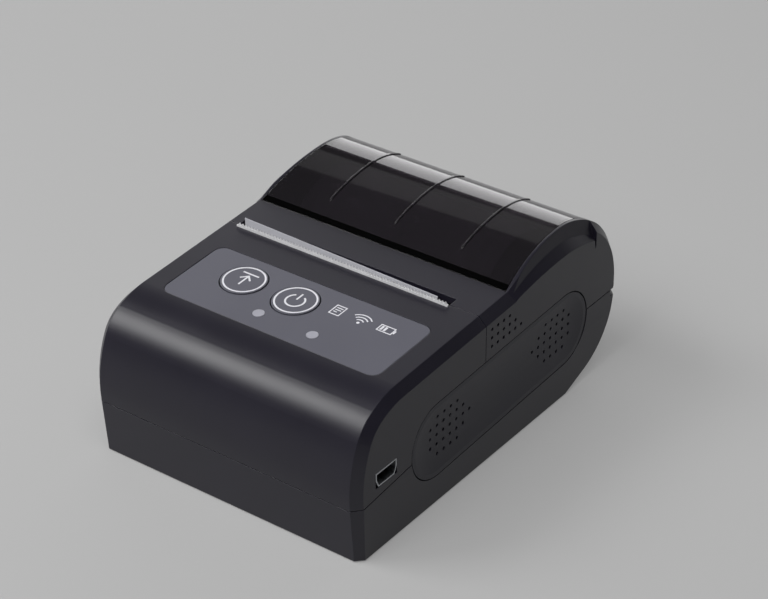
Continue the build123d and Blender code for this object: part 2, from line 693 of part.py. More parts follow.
WEB_SPAN = math.dist((ROLL_Y, ROLL_Z), (PLATEN_Y, PLATEN_Z))
WEB_HEADING = math.degrees(math.atan2(ROLL_Z - PLATEN_Z, ROLL_Y - PLATEN_Y)
                           - math.asin((WEB_ROLL_RADIUS - WEB_RADIUS) / WEB_SPAN))
WEB_NORMAL = WEB_HEADING - 90
TRAY_FRONT_LENGTH = math.sqrt(WEB_SPAN ** 2 - (WEB_ROLL_RADIUS - WEB_RADIUS) ** 2) - TRAY_FRONT_GAP


def keep(name, shape):
    """Adds a finished piece under its name."""
    NODES[name] = shape


def window_zone(margin, x_grow):
    """Space that holds the window: slanted sides on the flat of the arch, straight ones behind the crest."""
    low, high = top_z(WINDOW_FRONT_Y) - 4, CREST_Z + 2
    lean = (WINDOW_FRONT_HALF - WINDOW_TOP_HALF) / (CREST_Z - top_z(WINDOW_FRONT_Y))

    def half(z):
        return WINDOW_FRONT_HALF - lean * (z - top_z(WINDOW_FRONT_Y)) + x_grow - margin

    across = make_face(Polyline((-half(low), low), (half(low), low), (half(high), high), (-half(high), high),
                                close=True))
    front = extrude(Plane.XZ.offset(-CREST_Y) * across, amount=CREST_Y - WINDOW_FRONT_Y - margin + x_grow)
    flat = WINDOW_TOP_HALF + x_grow - margin
    return front + box(-flat, flat, CREST_Y, FAR, WINDOW_END_Z + margin - x_grow, FAR)


def arch_layer(depth):
    """Everything deeper than the given depth under the side-view outline, as wide as the casing."""
    face = casing_face() if depth == 0 else offset(casing_face(), amount=-depth, kind=Kind.INTERSECTION)
    return side_prism(face, -HALF_WIDTH, HALF_WIDTH)


def build_shells():
    """Splits the hollow casing into its lower shell, front housing and rear cover."""
    outer, inner = casing_body(0), casing_body(WALL)
    shell = outer - inner - both_sides(panel_shape(INNER_HALF - 1, FAR, PANEL_RADIUS + PANEL_GAP / 2))
    below, above = below_split(), above_split()
    build_lower_shell(shell & below, inner, below)
    upper = shell & above
    build_front_housing(upper - box(-FAR, FAR, SEAM_Y, FAR, -FAR, FAR), above)
    build_rear_cover(upper - box(-FAR, FAR, -FAR, SEAM_Y + SEAM_GAP, -FAR, FAR), inner)


def bay_space():
    """Space for the battery with its clearance."""
    return (-BATTERY_HALF_WIDTH - BAY_GAP, BATTERY_HALF_WIDTH + BAY_GAP,
            BATTERY_FRONT_Y - BAY_GAP, BATTERY_REAR_Y + BAY_GAP)


def door_outline():
    """Edges of the battery door: the bay's mouth and the ledge around it."""
    x0, x1, y0, y1 = bay_space()
    edge = DOOR_LIP - DOOR_GAP
    return x0 - edge, x1 + edge, y0 - edge, y1 + edge


def door_pivot():
    """Y and Z of the battery door's hinge."""
    return door_outline()[3] - DOOR_BARREL_RADIUS, FOOT_HEIGHT + DOOR_BARREL_RADIUS


def build_lower_shell(body, inner, below):
    """Lower shell: panel seats, hinge ears, posts, battery bay, tray ribs, door recess and screw holes."""
    x0, x1, y0, y1 = bay_space()
    seat_x = PANEL_SEAT_X - PANEL_SEAT_WALL
    rim = PANEL_RADIUS + PANEL_SEAT_RIM
    ring = panel_shape(PANEL_SEAT_X, INNER_HALF, rim) - panel_shape(PANEL_SEAT_X, INNER_HALF,
                                                                   PANEL_RADIUS + PANEL_GAP / 2)
    body += both_sides(panel_shape(seat_x, PANEL_SEAT_X, rim) + (ring & below))
    # hinge side: room for the barrel, then the two ears
    body -= box(-FAR, FAR, HINGE_Y - HINGE_RADIUS - HINGE_GAP, FAR, HINGE_Z - HINGE_RADIUS - HINGE_GAP, FAR)
    for side in (-1, 1):
        left = side * HINGE_EAR_X - HINGE_EAR_WIDTH / 2
        right = left + HINGE_EAR_WIDTH
        body += rod(left, right, HINGE_Y, HINGE_Z, HINGE_RADIUS - HINGE_EAR_INSET) \
            + box(left, right, HINGE_Y - HINGE_STEM[0], HINGE_Y + HINGE_STEM[1], HINGE_EAR_ROOT_Z, HINGE_Z)
    inside = Part()
    for x, y in four_corners([POST_FRONT, POST_REAR]):
        inside += post(x, y, FLOOR_Z - 1, REAR_SPLIT_Z, POST_RADIUS)
    inside = inside & below & inner
    for x, y in four_corners([(STANDOFF_X, y) for y in STANDOFF_Y]):
        inside += post(x, y, FLOOR_Z - 1, BOARD_BOTTOM_Z, STANDOFF_RADIUS)
    inside += box(x0 - BAY_WALL, x1 + BAY_WALL, y0 - BAY_WALL, y1 + BAY_WALL, FLOOR_Z - 0.3, BAY_ROOF_Z) \
        - box(x0, x1, y0, y1, 0, BAY_ROOF_Z - BAY_WALL)
    ribs = Part()
    for x in (-TRAY_RIB_X, 0, TRAY_RIB_X):
        ribs += box(x - TRAY_RIB_WIDTH / 2, x + TRAY_RIB_WIDTH / 2, ROLL_Y - TRAY_INNER_RADIUS,
                    ROLL_Y + TRAY_INNER_RADIUS, FLOOR_Z - 1, TRAY_RIB_TOP_Z)
    ribs = (ribs & casing_body(WALL - WALL_ROOT)) - rod(-FAR, FAR, ROLL_Y, TRAY_Z, TRAY_OUTER_RADIUS)
    body += inside + ribs
    for y in (TIE_Y[0] + TIE_MARGIN, TIE_Y[1] - TIE_MARGIN):
        for x in (-TIE_PEG_X, TIE_PEG_X):
            body += post(x, y, BAY_ROOF_Z - 0.2, BAY_ROOF_Z + FRAME_SHEET, TIE_PEG_RADIUS)
            body += post(x, y, BAY_ROOF_Z + FRAME_SHEET, BAY_ROOF_Z + 2 * FRAME_SHEET, TIE_PEG_RADIUS * 1.6)
    # battery door recess, its opening, its hinge sockets and the slot for the battery contacts
    dx0, dx1, dy0, dy1 = door_outline()
    pivot_y, pivot_z = door_pivot()
    body -= box(x0, x1, y0, y1, -1, FLOOR_Z + 1)
    body -= box(dx0 - DOOR_GAP, dx1 + DOOR_GAP, dy0 - DOOR_GAP, pivot_y, -1,
                FOOT_HEIGHT + DOOR_THICKNESS + DOOR_GAP)
    body -= rod(dx0 - DOOR_GAP, dx1 + DOOR_GAP, pivot_y, pivot_z, DOOR_BARREL_RADIUS + DOOR_BARREL_GAP)
    body -= box(dx0 - DOOR_GAP, dx1 + DOOR_GAP, pivot_y - DOOR_BARREL_RADIUS,
                pivot_y + DOOR_BARREL_RADIUS + DOOR_BARREL_GAP, -1, pivot_z)
    body -= rod(dx0 - DOOR_PIN_LENGTH - 0.3, dx1 + DOOR_PIN_LENGTH + 0.3, pivot_y, pivot_z,
                DOOR_PIN_RADIUS + HINGE_RUN)
    body -= box(-CONTACT_BLOCK[0] / 2 - LEAD_CLEARANCE, CONTACT_BLOCK[0] / 2 + LEAD_CLEARANCE,
                CONTACT_Y - CONTACT_BLOCK[1] / 2 - LEAD_CLEARANCE,
                CONTACT_Y + CONTACT_BLOCK[1] / 2 + LEAD_CLEARANCE, BATTERY_TOP_Z, BAY_ROOF_Z + 1)
    # screw holes, foot pockets and board screw holes
    for x, y in four_corners([POST_FRONT, POST_REAR]):
        body -= post(x, y, -1, SCREW_SEAT_Z, SCREW_HEAD_RADIUS + SCREW_HEAD_GAP)
        body -= post(x, y, SCREW_SEAT_Z - 0.1, REAR_SPLIT_Z, SCREW_RADIUS + SCREW_HOLE_GAP)
    for x, y in four_corners([(FOOT_X, y) for y in FOOT_Y]):
        body -= post(x, y, 0, FOOT_HEIGHT + FOOT_POCKET, FOOT_RADIUS)
    for x, y in four_corners([(STANDOFF_X, y) for y in STANDOFF_Y]):
        body -= post(x, y, BOARD_TOP_Z - BOARD_SCREW_LENGTH, BOARD_TOP_Z, BOARD_SCREW_RADIUS)
    body -= rod(-FAR, FAR, HINGE_Y, HINGE_Z, HINGE_PIN_RADIUS)
    draft = side_draft_wedge()
    body -= both_sides(draft)
    keep("lower_shell", body)


def side_draft_wedge():
    """Sliver taken off the outer side of the lower shell so that it leans in toward the table."""
    top = FRONT_SPLIT_Z
    low_x = HALF_WIDTH - SIDE_DRAFT
    face = make_face(Polyline((HALF_WIDTH, top), (low_x, FOOT_HEIGHT), (low_x, -1),
                              (HALF_WIDTH + 1, -1), (HALF_WIDTH + 1, top), close=True))
    return extrude(Plane.XZ.offset(-FAR) * face, amount=2 * FAR)


def build_front_housing(body, above):
    """Front housing: screw posts, key board posts, blade lip, and the openings in its top and side."""
    added = Part()
    for x, y in four_corners([POST_FRONT, POST_REAR]):
        added += post(x, y, FRONT_SPLIT_Z, top_z(0), UPPER_POST_RADIUS)
    for side in (-1, 1):
        x, y = side * POST_FRONT[0], POST_FRONT[1]
        added += box(x - POST_WEB / 2, x + POST_WEB / 2, FRONT_END, y, FRONT_SPLIT_Z, top_z(0))
        low_z = PANEL_FRONT_Z + PANEL_RADIUS + PANEL_SEAT_RIM + 1
        x, y = POST_REAR
        web = box(x, INNER_HALF + 0.5, y - POST_WEB / 2, y + POST_WEB / 2, low_z, top_z(0))
        added += web if side > 0 else mirror(web, Plane.YZ)
    added = added & above & casing_body(WALL - WALL_ROOT)
    for x, y in key_board_posts():
        added += top_disc(x, y, STANDOFF_RADIUS, WALL - 0.3, KEY_BOARD_DEPTH)
    blade_z = top_z(BLADE_REAR_Y) - BLADE_DEPTH
    added += box(SLOT_LEFT_X, SLOT_RIGHT_X, BLADE_REAR_Y - BLADE_THICKNESS - BLADE_LIP,
                 BLADE_REAR_Y - BLADE_THICKNESS, blade_z, top_z(BLADE_REAR_Y) - 0.8)
    body += added
    for x, y in key_board_posts():
        body -= top_disc(x, y, BOARD_SCREW_RADIUS, KEY_SCREW_TOP, KEY_BOARD_DEPTH + 1)
    for x, y in four_corners([POST_FRONT, POST_REAR]):
        body -= post(x, y, FRONT_SPLIT_Z - 1, SCREW_SEAT_Z + SCREW_LENGTH, SCREW_RADIUS)
    body -= label_plate(LABEL_SET_IN + LABEL_THICKNESS, FIT_GAP)
    for x in KEY_X:
        body -= top_disc(x, KEY_Y, KEY_RADIUS + KEY_GAP, -1, WALL + 1)
    for x in LAMP_X:
        body -= top_disc(x, LAMP_Y, LAMP_RADIUS, -1, WALL + 1)
    body -= box(SLOT_LEFT_X, SLOT_RIGHT_X, BLADE_REAR_Y - BLADE_THICKNESS, 0, FRONT_SPLIT_Z, FAR)
    half_socket = SOCKET_SIZE[1] / 2 + FIT_GAP
    body -= box(BOARD_HALF_WIDTH, FAR, SOCKET_Y - half_socket, SOCKET_Y + half_socket,
                BOARD_TOP_Z - FIT_GAP, BOARD_TOP_Z + SOCKET_SIZE[2] + FIT_GAP)
    keep("front_housing", body)


def label_plate(depth, grow):
    """The label plate, or with a margin the pocket for it."""
    middle = LABEL_FRONT_Y + LABEL_LENGTH / 2
    size = (2 * (LABEL_HALF_WIDTH + grow), LABEL_LENGTH / math.cos(rad(TOP_SLOPE)) + 2 * grow)
    top = LABEL_SET_IN if grow == 0 else -1
    return top_block(0, middle, size, top, depth, LABEL_CORNER + grow)


def build_rear_cover(body, inner):
    """Rear cover with its hinge barrel, window, roller bracket and bushes, and the hinge pin."""
    reach = HINGE_HALF_LENGTH
    window = (arch_layer(0) - arch_layer(WINDOW_THICKNESS)) & window_zone(0, 0)
    body -= (arch_layer(-1) - arch_layer(WINDOW_THICKNESS)) & window_zone(0, FIT_GAP)
    body -= window_zone(WINDOW_LEDGE, 0)
    barrel = rod(-reach, reach, HINGE_Y, HINGE_Z, HINGE_RADIUS)
    body += barrel
    for side in (-1, 1):
        left = side * HINGE_EAR_X - HINGE_EAR_WIDTH / 2 - HINGE_GAP
        right = left + HINGE_EAR_WIDTH + 2 * HINGE_GAP
        body -= box(left, right, HINGE_Y - HINGE_RADIUS - HINGE_GAP, FAR, HINGE_Z - 2 * HINGE_RADIUS,
                    HINGE_Z + HINGE_RADIUS + 2 * HINGE_GAP)
    body -= rod(-FAR, FAR, HINGE_Y, HINGE_Z, HINGE_PIN_RADIUS + HINGE_RUN)
    body -= box(SLOT_LEFT_X, SLOT_RIGHT_X, SEAM_Y - 1, SLOT_REAR_Y, FRONT_SPLIT_Z, FAR)
    places = [(SEAM_Y + CHEEK_DOT_IN + CHEEK_DOT_PITCH * i, CHEEK_DOT_Z - CHEEK_ROW_PITCH * row)
              for row, count in enumerate(CHEEK_DOT_COUNTS) for i in range(count)]
    for y, z in places:
        body -= rod(HALF_WIDTH - DOT_DEPTH, FAR, y, z, DOT_RADIUS)
        body -= rod(-FAR, -HALF_WIDTH + DOT_DEPTH, y, z, DOT_RADIUS)
    keep("rear_cover", body)
    for x in (-RIB_SPACING, 0, RIB_SPACING):
        window += (arch_layer(-RIB_HEIGHT) - arch_layer(WINDOW_THICKNESS / 2)) \
            & box(x - RIB_WIDTH / 2, x + RIB_WIDTH / 2, RIB_FRONT_Y, RIB_REAR_Y, CREST_CENTRE_Z, FAR)
    keep("cover_window", window)
    bracket = Part()
    for left, right in ARM_X:
        bracket += box(left, right, ARM_FRONT_Y, ARM_REAR_Y, ARM_BOTTOM_Z, CREST_Z)
    bracket += box(ARM_X[0][0], ARM_X[1][1], ARM_REAR_Y - ARM_THICKNESS, ARM_REAR_Y, PLATEN_Z, CREST_Z)
    bracket = (bracket & inner) - rod(-FAR, FAR, PLATEN_Y, PLATEN_Z, BUSH_RADIUS)
    keep("platen_bracket", bracket)
    bushes = rod(BUSH_X[0], ARM_X[0][1], PLATEN_Y, PLATEN_Z, BUSH_RADIUS) \
        + rod(ARM_X[1][0], BUSH_X[1], PLATEN_Y, PLATEN_Z, BUSH_RADIUS)
    keep("platen_bushes", bushes - rod(-FAR, FAR, PLATEN_Y, PLATEN_Z, PLATEN_SHAFT_RADIUS + BUSH_RUN))
    keep("hinge_pin", rod(-HINGE_PIN_HALF, HINGE_PIN_HALF, HINGE_Y, HINGE_Z, HINGE_PIN_RADIUS))


def build_outer_trim():
    """Side panels, label plate, toothed tear bar and feet."""
    radius = PANEL_RADIUS - PANEL_GAP / 2
    face_x = PANEL_FACE_X
    panel = panel_shape(PANEL_SEAT_X, face_x, radius)
    dish_half = radius - PANEL_DISH_RIM
    ball = (dish_half ** 2 + PANEL_DISH ** 2) / (2 * PANEL_DISH)
    ball_x = face_x - PANEL_DISH + ball
    run_y, run_z = PANEL_REAR_Y - PANEL_FRONT_Y, PANEL_REAR_Z - PANEL_FRONT_Z
    tilt = math.degrees(math.atan2(run_z, run_y))
    middle = Pos(ball_x, (PANEL_FRONT_Y + PANEL_REAR_Y) / 2, (PANEL_FRONT_Z + PANEL_REAR_Z) / 2)
    panel -= middle * Rot(tilt, 0, 0) * Rot(90, 0, 0) * Cylinder(ball, math.hypot(run_y, run_z))
    panel -= Pos(ball_x, PANEL_FRONT_Y, PANEL_FRONT_Z) * Sphere(ball)
    panel -= Pos(ball_x, PANEL_REAR_Y, PANEL_REAR_Z) * Sphere(ball)
    groups = ((PANEL_FRONT_Y + FRONT_DOTS_IN[0], PANEL_FRONT_Z + FRONT_DOTS_IN[1], 1),
              (PANEL_REAR_Y - REAR_DOTS_IN[0], PANEL_REAR_Z + REAR_DOTS_IN[1], -1))
    for centre_y, centre_z, toward_middle in groups:
        places = dot_rows(DOT_COUNTS, centre_y, centre_z, DOT_PITCH)
        longest = max(DOT_COUNTS)
        places.append((centre_y + toward_middle * DOT_PITCH * (longest + 1) / 2, centre_z))
        for y, z in places:
            panel -= rod(face_x - PANEL_DISH - DOT_DEPTH, FAR, y, z, DOT_RADIUS)
    keep("side_panel_right", panel)
    keep("side_panel_left", mirror(panel, Plane.YZ))

    plate = label_plate(LABEL_SET_IN + LABEL_THICKNESS, 0)
    for x in KEY_X:
        plate -= top_disc(x, KEY_Y, KEY_RADIUS + KEY_GAP, -1, WALL + 1)
    for x in LAMP_X:
        plate -= top_disc(x, LAMP_Y, LAMP_RADIUS, -1, WALL + 1)
    keep("label_panel", plate)

    teeth = [(SLOT_LEFT_X, top_z(BLADE_REAR_Y) - BLADE_DEPTH)]
    base_z = top_z(BLADE_REAR_Y) + BLADE_BAND
    count = int((SLOT_RIGHT_X - SLOT_LEFT_X) / TOOTH_PITCH)
    edge = (SLOT_RIGHT_X - SLOT_LEFT_X - count * TOOTH_PITCH) / 2
    teeth.append((SLOT_LEFT_X, base_z))
    for i in range(count):
        left = SLOT_LEFT_X + edge + i * TOOTH_PITCH
        teeth += [(left, base_z), (left + TOOTH_PITCH / 2, base_z + TOOTH_HEIGHT)]
    teeth += [(SLOT_RIGHT_X - edge, base_z), (SLOT_RIGHT_X, base_z), (SLOT_RIGHT_X, teeth[0][1])]
    blade = make_face(Polyline(*[p for i, p in enumerate(teeth) if i == 0 or p != teeth[i - 1]], close=True))
    keep("tear_bar", extrude(Plane.XZ.offset(-BLADE_REAR_Y) * blade, amount=BLADE_THICKNESS))
    feet = Part()
    for x, y in four_corners([(FOOT_X, y) for y in FOOT_Y]):
        feet += post(x, y, 0, FOOT_HEIGHT + FOOT_POCKET, FOOT_RADIUS)
    keep("rubber_feet", feet)


def build_keys():
    """Keys, switches, light pipes and the board under them."""
    flange_top = WALL + 0.1
    flange_end = flange_top + KEY_FLANGE_THICKNESS
    for name, x in zip(("feed", "power"), KEY_X):
        cap = top_disc(x, KEY_Y, KEY_RADIUS, -KEY_PROUD, flange_end)
        cap += top_disc(x, KEY_Y, KEY_RADIUS + KEY_FLANGE, flange_top, flange_end)
        stem_end = KEY_BOARD_DEPTH - SWITCH_HEIGHT - PLUNGER_RISE
        cap += top_disc(x, KEY_Y, KEY_STEM_RADIUS, flange_end, stem_end)
        keep(f"{name}_button", cap)
        plunger_end = stem_end + PLUNGER_RISE + PLUNGER_REACH
        keep(f"{name}_switch_plunger", top_disc(x, KEY_Y, PLUNGER_RADIUS, stem_end, plunger_end))
        switch_top = KEY_BOARD_DEPTH - SWITCH_HEIGHT
        switch = top_block(x, KEY_Y, (SWITCH_SIZE, SWITCH_SIZE), switch_top, KEY_BOARD_DEPTH)
        switch -= top_disc(x, KEY_Y, PLUNGER_RADIUS + KEY_GAP, 0, plunger_end + KEY_TRAVEL + 0.2)
        keep(f"{name}_switch", switch)
    board = top_block(0, KEY_BOARD_Y, KEY_BOARD_SIZE, KEY_BOARD_DEPTH, KEY_BOARD_DEPTH + KEY_BOARD_THICKNESS,
                      KEY_BOARD_CORNER)
    screws = Part()
    screw_head = KEY_BOARD_DEPTH + KEY_BOARD_THICKNESS
    for x, y in key_board_posts():
        board -= top_disc(x, y, BOARD_SCREW_RADIUS + SCREW_HOLE_GAP, 0, screw_head + 1)
        screws += top_disc(x, y, BOARD_SCREW_RADIUS, KEY_SCREW_TOP, screw_head)
        screws += top_disc(x, y, BOARD_SCREW_HEAD, screw_head, screw_head + BOARD_SCREW_HEAD_HEIGHT)
    keep("key_board", board)
    keep("key_board_screws", screws)
    chips = Part()
    for name, x in zip(("status", "power"), LAMP_X):
        chip_top = KEY_BOARD_DEPTH - LAMP_CHIP[2]
        pipe = top_disc(x, LAMP_Y, LAMP_RADIUS - HINGE_RUN, 0, WALL)
        flange_radius, flange_thickness = LAMP_RADIUS + LAMP_FLANGE[0], LAMP_FLANGE[1]
        pipe += top_disc(x, LAMP_Y, flange_radius, WALL, WALL + flange_thickness)
        pipe += top_disc(x, LAMP_Y, LAMP_RADIUS - LAMP_PIPE_STEP, WALL + flange_thickness, chip_top - 0.1)
        keep(f"{name}_lamp_window", pipe)
        chips += top_block(x, LAMP_Y, LAMP_CHIP[:2], chip_top, KEY_BOARD_DEPTH)
    keep("lamp_chips", chips)


def plate_outline():
    """Side view of the mechanism frame's two plates."""
    step, step_z = FRAME_STEP
    return [(FRAME_FRONT_Y, BAY_ROOF_Z), (FRAME_FRONT_Y, FRAME_FRONT_TOP_Z), (CROSS_Y - step, step_z),
            (CROSS_Y, step_z), (CROSS_Y, FRAME_TOP_Z), (FRAME_REAR_Y, FRAME_TOP_Z),
            (FRAME_REAR_Y, BAY_ROOF_Z)]


def build_mechanism():
    """Mechanism frame, platen roller, gears, motor, print head, heat sink and head spring."""
    frame = Part()
    for left, right in PLATE_X:
        frame += side_polygon(plate_outline(), left, right)
    frame += box(PLATE_X[0][0], PLATE_X[1][1], CROSS_Y, CROSS_Y + FRAME_SHEET, CROSS_BOTTOM_Z, FRAME_TOP_Z)
    frame += box(PLATE_X[0][0], PLATE_X[1][1], TIE_Y[0], TIE_Y[1], BAY_ROOF_Z, BAY_ROOF_Z + FRAME_SHEET)
    notch = BUSH_RADIUS + FRAME_GAP
    frame -= rod(-FAR, FAR, PLATEN_Y, PLATEN_Z, notch)
    frame -= box(-FAR, FAR, PLATEN_Y - notch, FAR, PLATEN_Z, FAR)
    frame -= rod(-FAR, FAR, PIVOT_Y, PIVOT_Z, SINK_PIVOT_RADIUS + HINGE_RUN)
    frame -= rod(PLATE_X[1][0] - 1, FAR, IDLER_Y, IDLER_Z, AXLE_RADIUS)
    frame -= rod(PLATE_X[1][0] - 1, FAR, MOTOR_Y, MOTOR_Z, MOTOR_SHAFT_RADIUS + 0.6)
    for y in (TIE_Y[0] + TIE_MARGIN, TIE_Y[1] - TIE_MARGIN):
        for x in (-TIE_PEG_X, TIE_PEG_X):
            frame -= post(x, y, BAY_ROOF_Z - 1, BAY_ROOF_Z + 1, TIE_PEG_RADIUS)
    keep("mechanism_frame", frame)

    roller = rod(ROLLER_X[0], ROLLER_X[1], PLATEN_Y, PLATEN_Z, PLATEN_RADIUS)
    keep("platen_rubber", roller - rod(-FAR, FAR, PLATEN_Y, PLATEN_Z, PLATEN_SHAFT_RADIUS))
    shaft_end = LAYER_A_X[1] + 0.1
    keep("platen_shaft", rod(BUSH_X[0] - 0.3, shaft_end, PLATEN_Y, PLATEN_Z, PLATEN_SHAFT_RADIUS))
    toward_idler = IDLER_DIRECTION
    wheel = gear(PLATEN_TEETH, *LAYER_A_X, PLATEN_Y, PLATEN_Z, toward_idler)
    keep("platen_gear", wheel - rod(-FAR, FAR, PLATEN_Y, PLATEN_Z, PLATEN_SHAFT_RADIUS))
    toward_platen = toward_idler + 180 + 180 / SMALL_TEETH
    idler = gear(SMALL_TEETH, LAYER_A_X[0], LAYER_B_X[0], IDLER_Y, IDLER_Z, toward_platen)
    idler += gear(LARGE_TEETH, *LAYER_B_X, IDLER_Y, IDLER_Z, MOTOR_DIRECTION)
    keep("idler_gear", idler - rod(-FAR, FAR, IDLER_Y, IDLER_Z, AXLE_RADIUS + HINGE_RUN))
    axle = rod(PLATE_X[1][0], LAYER_B_X[1] + 0.3, IDLER_Y, IDLER_Z, AXLE_RADIUS)
    axle += rod(LAYER_B_X[1] + 0.3, LAYER_B_X[1] + 0.8, IDLER_Y, IDLER_Z, AXLE_RADIUS * 2)
    keep("idler_axle", axle + rod(PLATE_X[1][1], LAYER_A_X[0] - 0.3, IDLER_Y, IDLER_Z, AXLE_RADIUS * 2))
    can = rod(PLATE_X[1][0] - MOTOR_LENGTH, PLATE_X[1][0], MOTOR_Y, MOTOR_Z, MOTOR_RADIUS)
    stands_out, side, height = MOTOR_TAB
    can += box(MOTOR_RIBBON[0] - side, MOTOR_RIBBON[1] + side, MOTOR_Y - MOTOR_RADIUS - stands_out, MOTOR_Y,
               MOTOR_Z - height / 2, MOTOR_Z + height / 2)
    can -= rod(-FAR, FAR, MOTOR_Y, MOTOR_Z, MOTOR_SHAFT_RADIUS + HINGE_RUN)
    keep("paper_motor", can)
    shaft_start = PLATE_X[1][0] - MOTOR_LENGTH + MOTOR_END_CAP
    keep("motor_shaft", rod(shaft_start, LAYER_B_X[1], MOTOR_Y, MOTOR_Z, MOTOR_SHAFT_RADIUS))
    pinion = gear(PINION_TEETH, *LAYER_B_X, MOTOR_Y, MOTOR_Z, MOTOR_DIRECTION + 180 + 180 / PINION_TEETH)
    keep("motor_pinion", pinion - rod(-FAR, FAR, MOTOR_Y, MOTOR_Z, MOTOR_SHAFT_RADIUS))

    keep("print_head", box(SINK_X[0], SINK_X[1], SINK_REAR_Y, HEAD_REAR_Y,
                           HEAD_BOTTOM_Z, HEAD_BOTTOM_Z + HEAD_HEIGHT))
    sink = box(SINK_X[0], SINK_X[1], SINK_FRONT_Y, SINK_REAR_Y, SINK_BOTTOM_Z, SINK_BOTTOM_Z + SINK_HEIGHT)
    sink += rod(PLATE_X[0][0], PLATE_X[1][1], PIVOT_Y, PIVOT_Z, SINK_PIVOT_RADIUS)
    keep("heat_sink", sink)
    rear_y = CROSS_Y + FRAME_SHEET
    bow_y = SINK_FRONT_Y - SPRING_CLEARANCE
    low, high = SPRING_Z
    ends = [(PAPER_X - SPRING_HALF_LENGTH, rear_y), (PAPER_X, bow_y), (PAPER_X + SPRING_HALF_LENGTH, rear_y)]
    inner = [(x, y - SPRING_THICKNESS) for x, y in ends]
    leaf = make_face([ThreePointArc(*ends), ThreePointArc(*inner),
                      Line(ends[0], inner[0]), Line(ends[2], inner[2])])
    leaf = Pos(0, 0, low) * extrude(leaf, amount=high - low)
    keep("head_spring", leaf - box(-FAR, FAR, -FAR, rear_y, low - 1, high + 1))


def build_paper():
    """Paper strip, roll, core, tray and paper sensor."""
    lift = TONGUE_LEFT_HEIGHT - TONGUE_RIGHT_HEIGHT
    path = [(WEB_Y, CREST_Z)] + circle_points(PLATEN_Y, PLATEN_Z, WEB_RADIUS, 180, WEB_NORMAL + 360, 6)
    path.append(polar(ROLL_Y, ROLL_Z, WEB_ROLL_RADIUS, WEB_NORMAL))
    web = side_polygon(strip_outline(path, PAPER_THICKNESS), *ROLL_END_X)
    left_z = top_z(WEB_Y) + TONGUE_LEFT_HEIGHT
    cut = make_face(Polyline((ROLL_END_X[0], left_z), (ROLL_END_X[1], left_z - lift), (ROLL_END_X[1], FAR),
                             (ROLL_END_X[0], FAR), close=True))
    keep("paper_web", web - extrude(Plane.XZ.offset(-FAR) * cut, amount=2 * FAR))
    roll = rod(*ROLL_END_X, ROLL_Y, ROLL_Z, ROLL_RADIUS)
    keep("paper_roll", roll - rod(-FAR, FAR, ROLL_Y, ROLL_Z, CORE_RADIUS))
    core = rod(*ROLL_END_X, ROLL_Y, ROLL_Z, CORE_RADIUS)
    keep("roll_core", core - rod(-FAR, FAR, ROLL_Y, ROLL_Z, CORE_RADIUS - CORE_WALL))

    ring_radius = (TRAY_INNER_RADIUS + TRAY_OUTER_RADIUS) / 2
    tangent = polar(ROLL_Y, TRAY_Z, ring_radius, WEB_NORMAL)
    top = (tangent[0] - TRAY_FRONT_LENGTH * math.cos(rad(WEB_HEADING)),
           tangent[1] - TRAY_FRONT_LENGTH * math.sin(rad(WEB_HEADING)))
    ring = rod(-TRAY_HALF_WIDTH, TRAY_HALF_WIDTH, ROLL_Y, TRAY_Z, TRAY_OUTER_RADIUS)
    ring -= rod(-FAR, FAR, ROLL_Y, TRAY_Z, TRAY_INNER_RADIUS)
    centre = (ROLL_Y, TRAY_Z)
    keep_part = [centre, polar(*centre, FAR, WEB_NORMAL + 360), polar(*centre, FAR, 270),
                 polar(*centre, FAR, 360 - TRAY_REAR_ANGLE)]
    ring &= side_polygon(keep_part, -FAR, FAR)
    front = side_polygon(strip_outline([top, tangent], TRAY_WALL), *TRAY_SIDE_X)
    tray = ring + front
    notch_y = FRAME_REAR_Y + TRAY_NOTCH
    cheek_outline = [tangent, top, (notch_y, top[1]), (notch_y, TRAY_SIDE_TOP_Z),
                     (ROLL_Y, TRAY_SIDE_TOP_Z), centre]
    left_end, right_end = TRAY_SIDE_X
    for left, right in ((left_end, left_end + TRAY_WALL), (right_end - TRAY_WALL, right_end)):
        cheek = rod(left, right, ROLL_Y, TRAY_Z, ring_radius) & box(-FAR, FAR, -FAR, FAR, 0, TRAY_SIDE_TOP_Z)
        tray += cheek + side_polygon(cheek_outline, left, right)
    keep("paper_tray", tray)
    outward = polar(0, 0, 1, WEB_NORMAL)
    along = (-math.cos(rad(WEB_HEADING)), -math.sin(rad(WEB_HEADING)))
    start = (top[0] - SENSOR_DOWN * along[0] + outward[0] * TRAY_WALL / 2,
             top[1] - SENSOR_DOWN * along[1] + outward[1] * TRAY_WALL / 2)
    end = (start[0] - SENSOR_SIZE[1] * along[0], start[1] - SENSOR_SIZE[1] * along[1])
    deep = SENSOR_SIZE[2]
    corners = [start, end, (end[0] + outward[0] * deep, end[1] + outward[1] * deep),
               (start[0] + outward[0] * deep, start[1] + outward[1] * deep)]
    keep("paper_sensor", side_polygon(corners, PAPER_X - SENSOR_SIZE[0] / 2, PAPER_X + SENSOR_SIZE[0] / 2))


def ribbon(path, x_range):
    """A flat cable along a side-view path."""
    return side_polygon(strip_outline(path, RIBBON_THICKNESS), *x_range)


def connector(x_range, ribbon_z):
    """A board connector with a mouth at its rear for a flat cable."""
    block = box(x_range[0] - CONNECTOR_WALL, x_range[1] + CONNECTOR_WALL,
                CONNECTOR_REAR_Y - CONNECTOR_DEPTH, CONNECTOR_REAR_Y,
                BOARD_TOP_Z, BOARD_TOP_Z + CONNECTOR_HEIGHT)
    return block - box(x_range[0], x_range[1], CONNECTOR_REAR_Y - CONNECTOR_DEPTH / 2, CONNECTOR_REAR_Y + 1,
                       ribbon_z - RIBBON_THICKNESS / 2, ribbon_z + RIBBON_THICKNESS / 2)


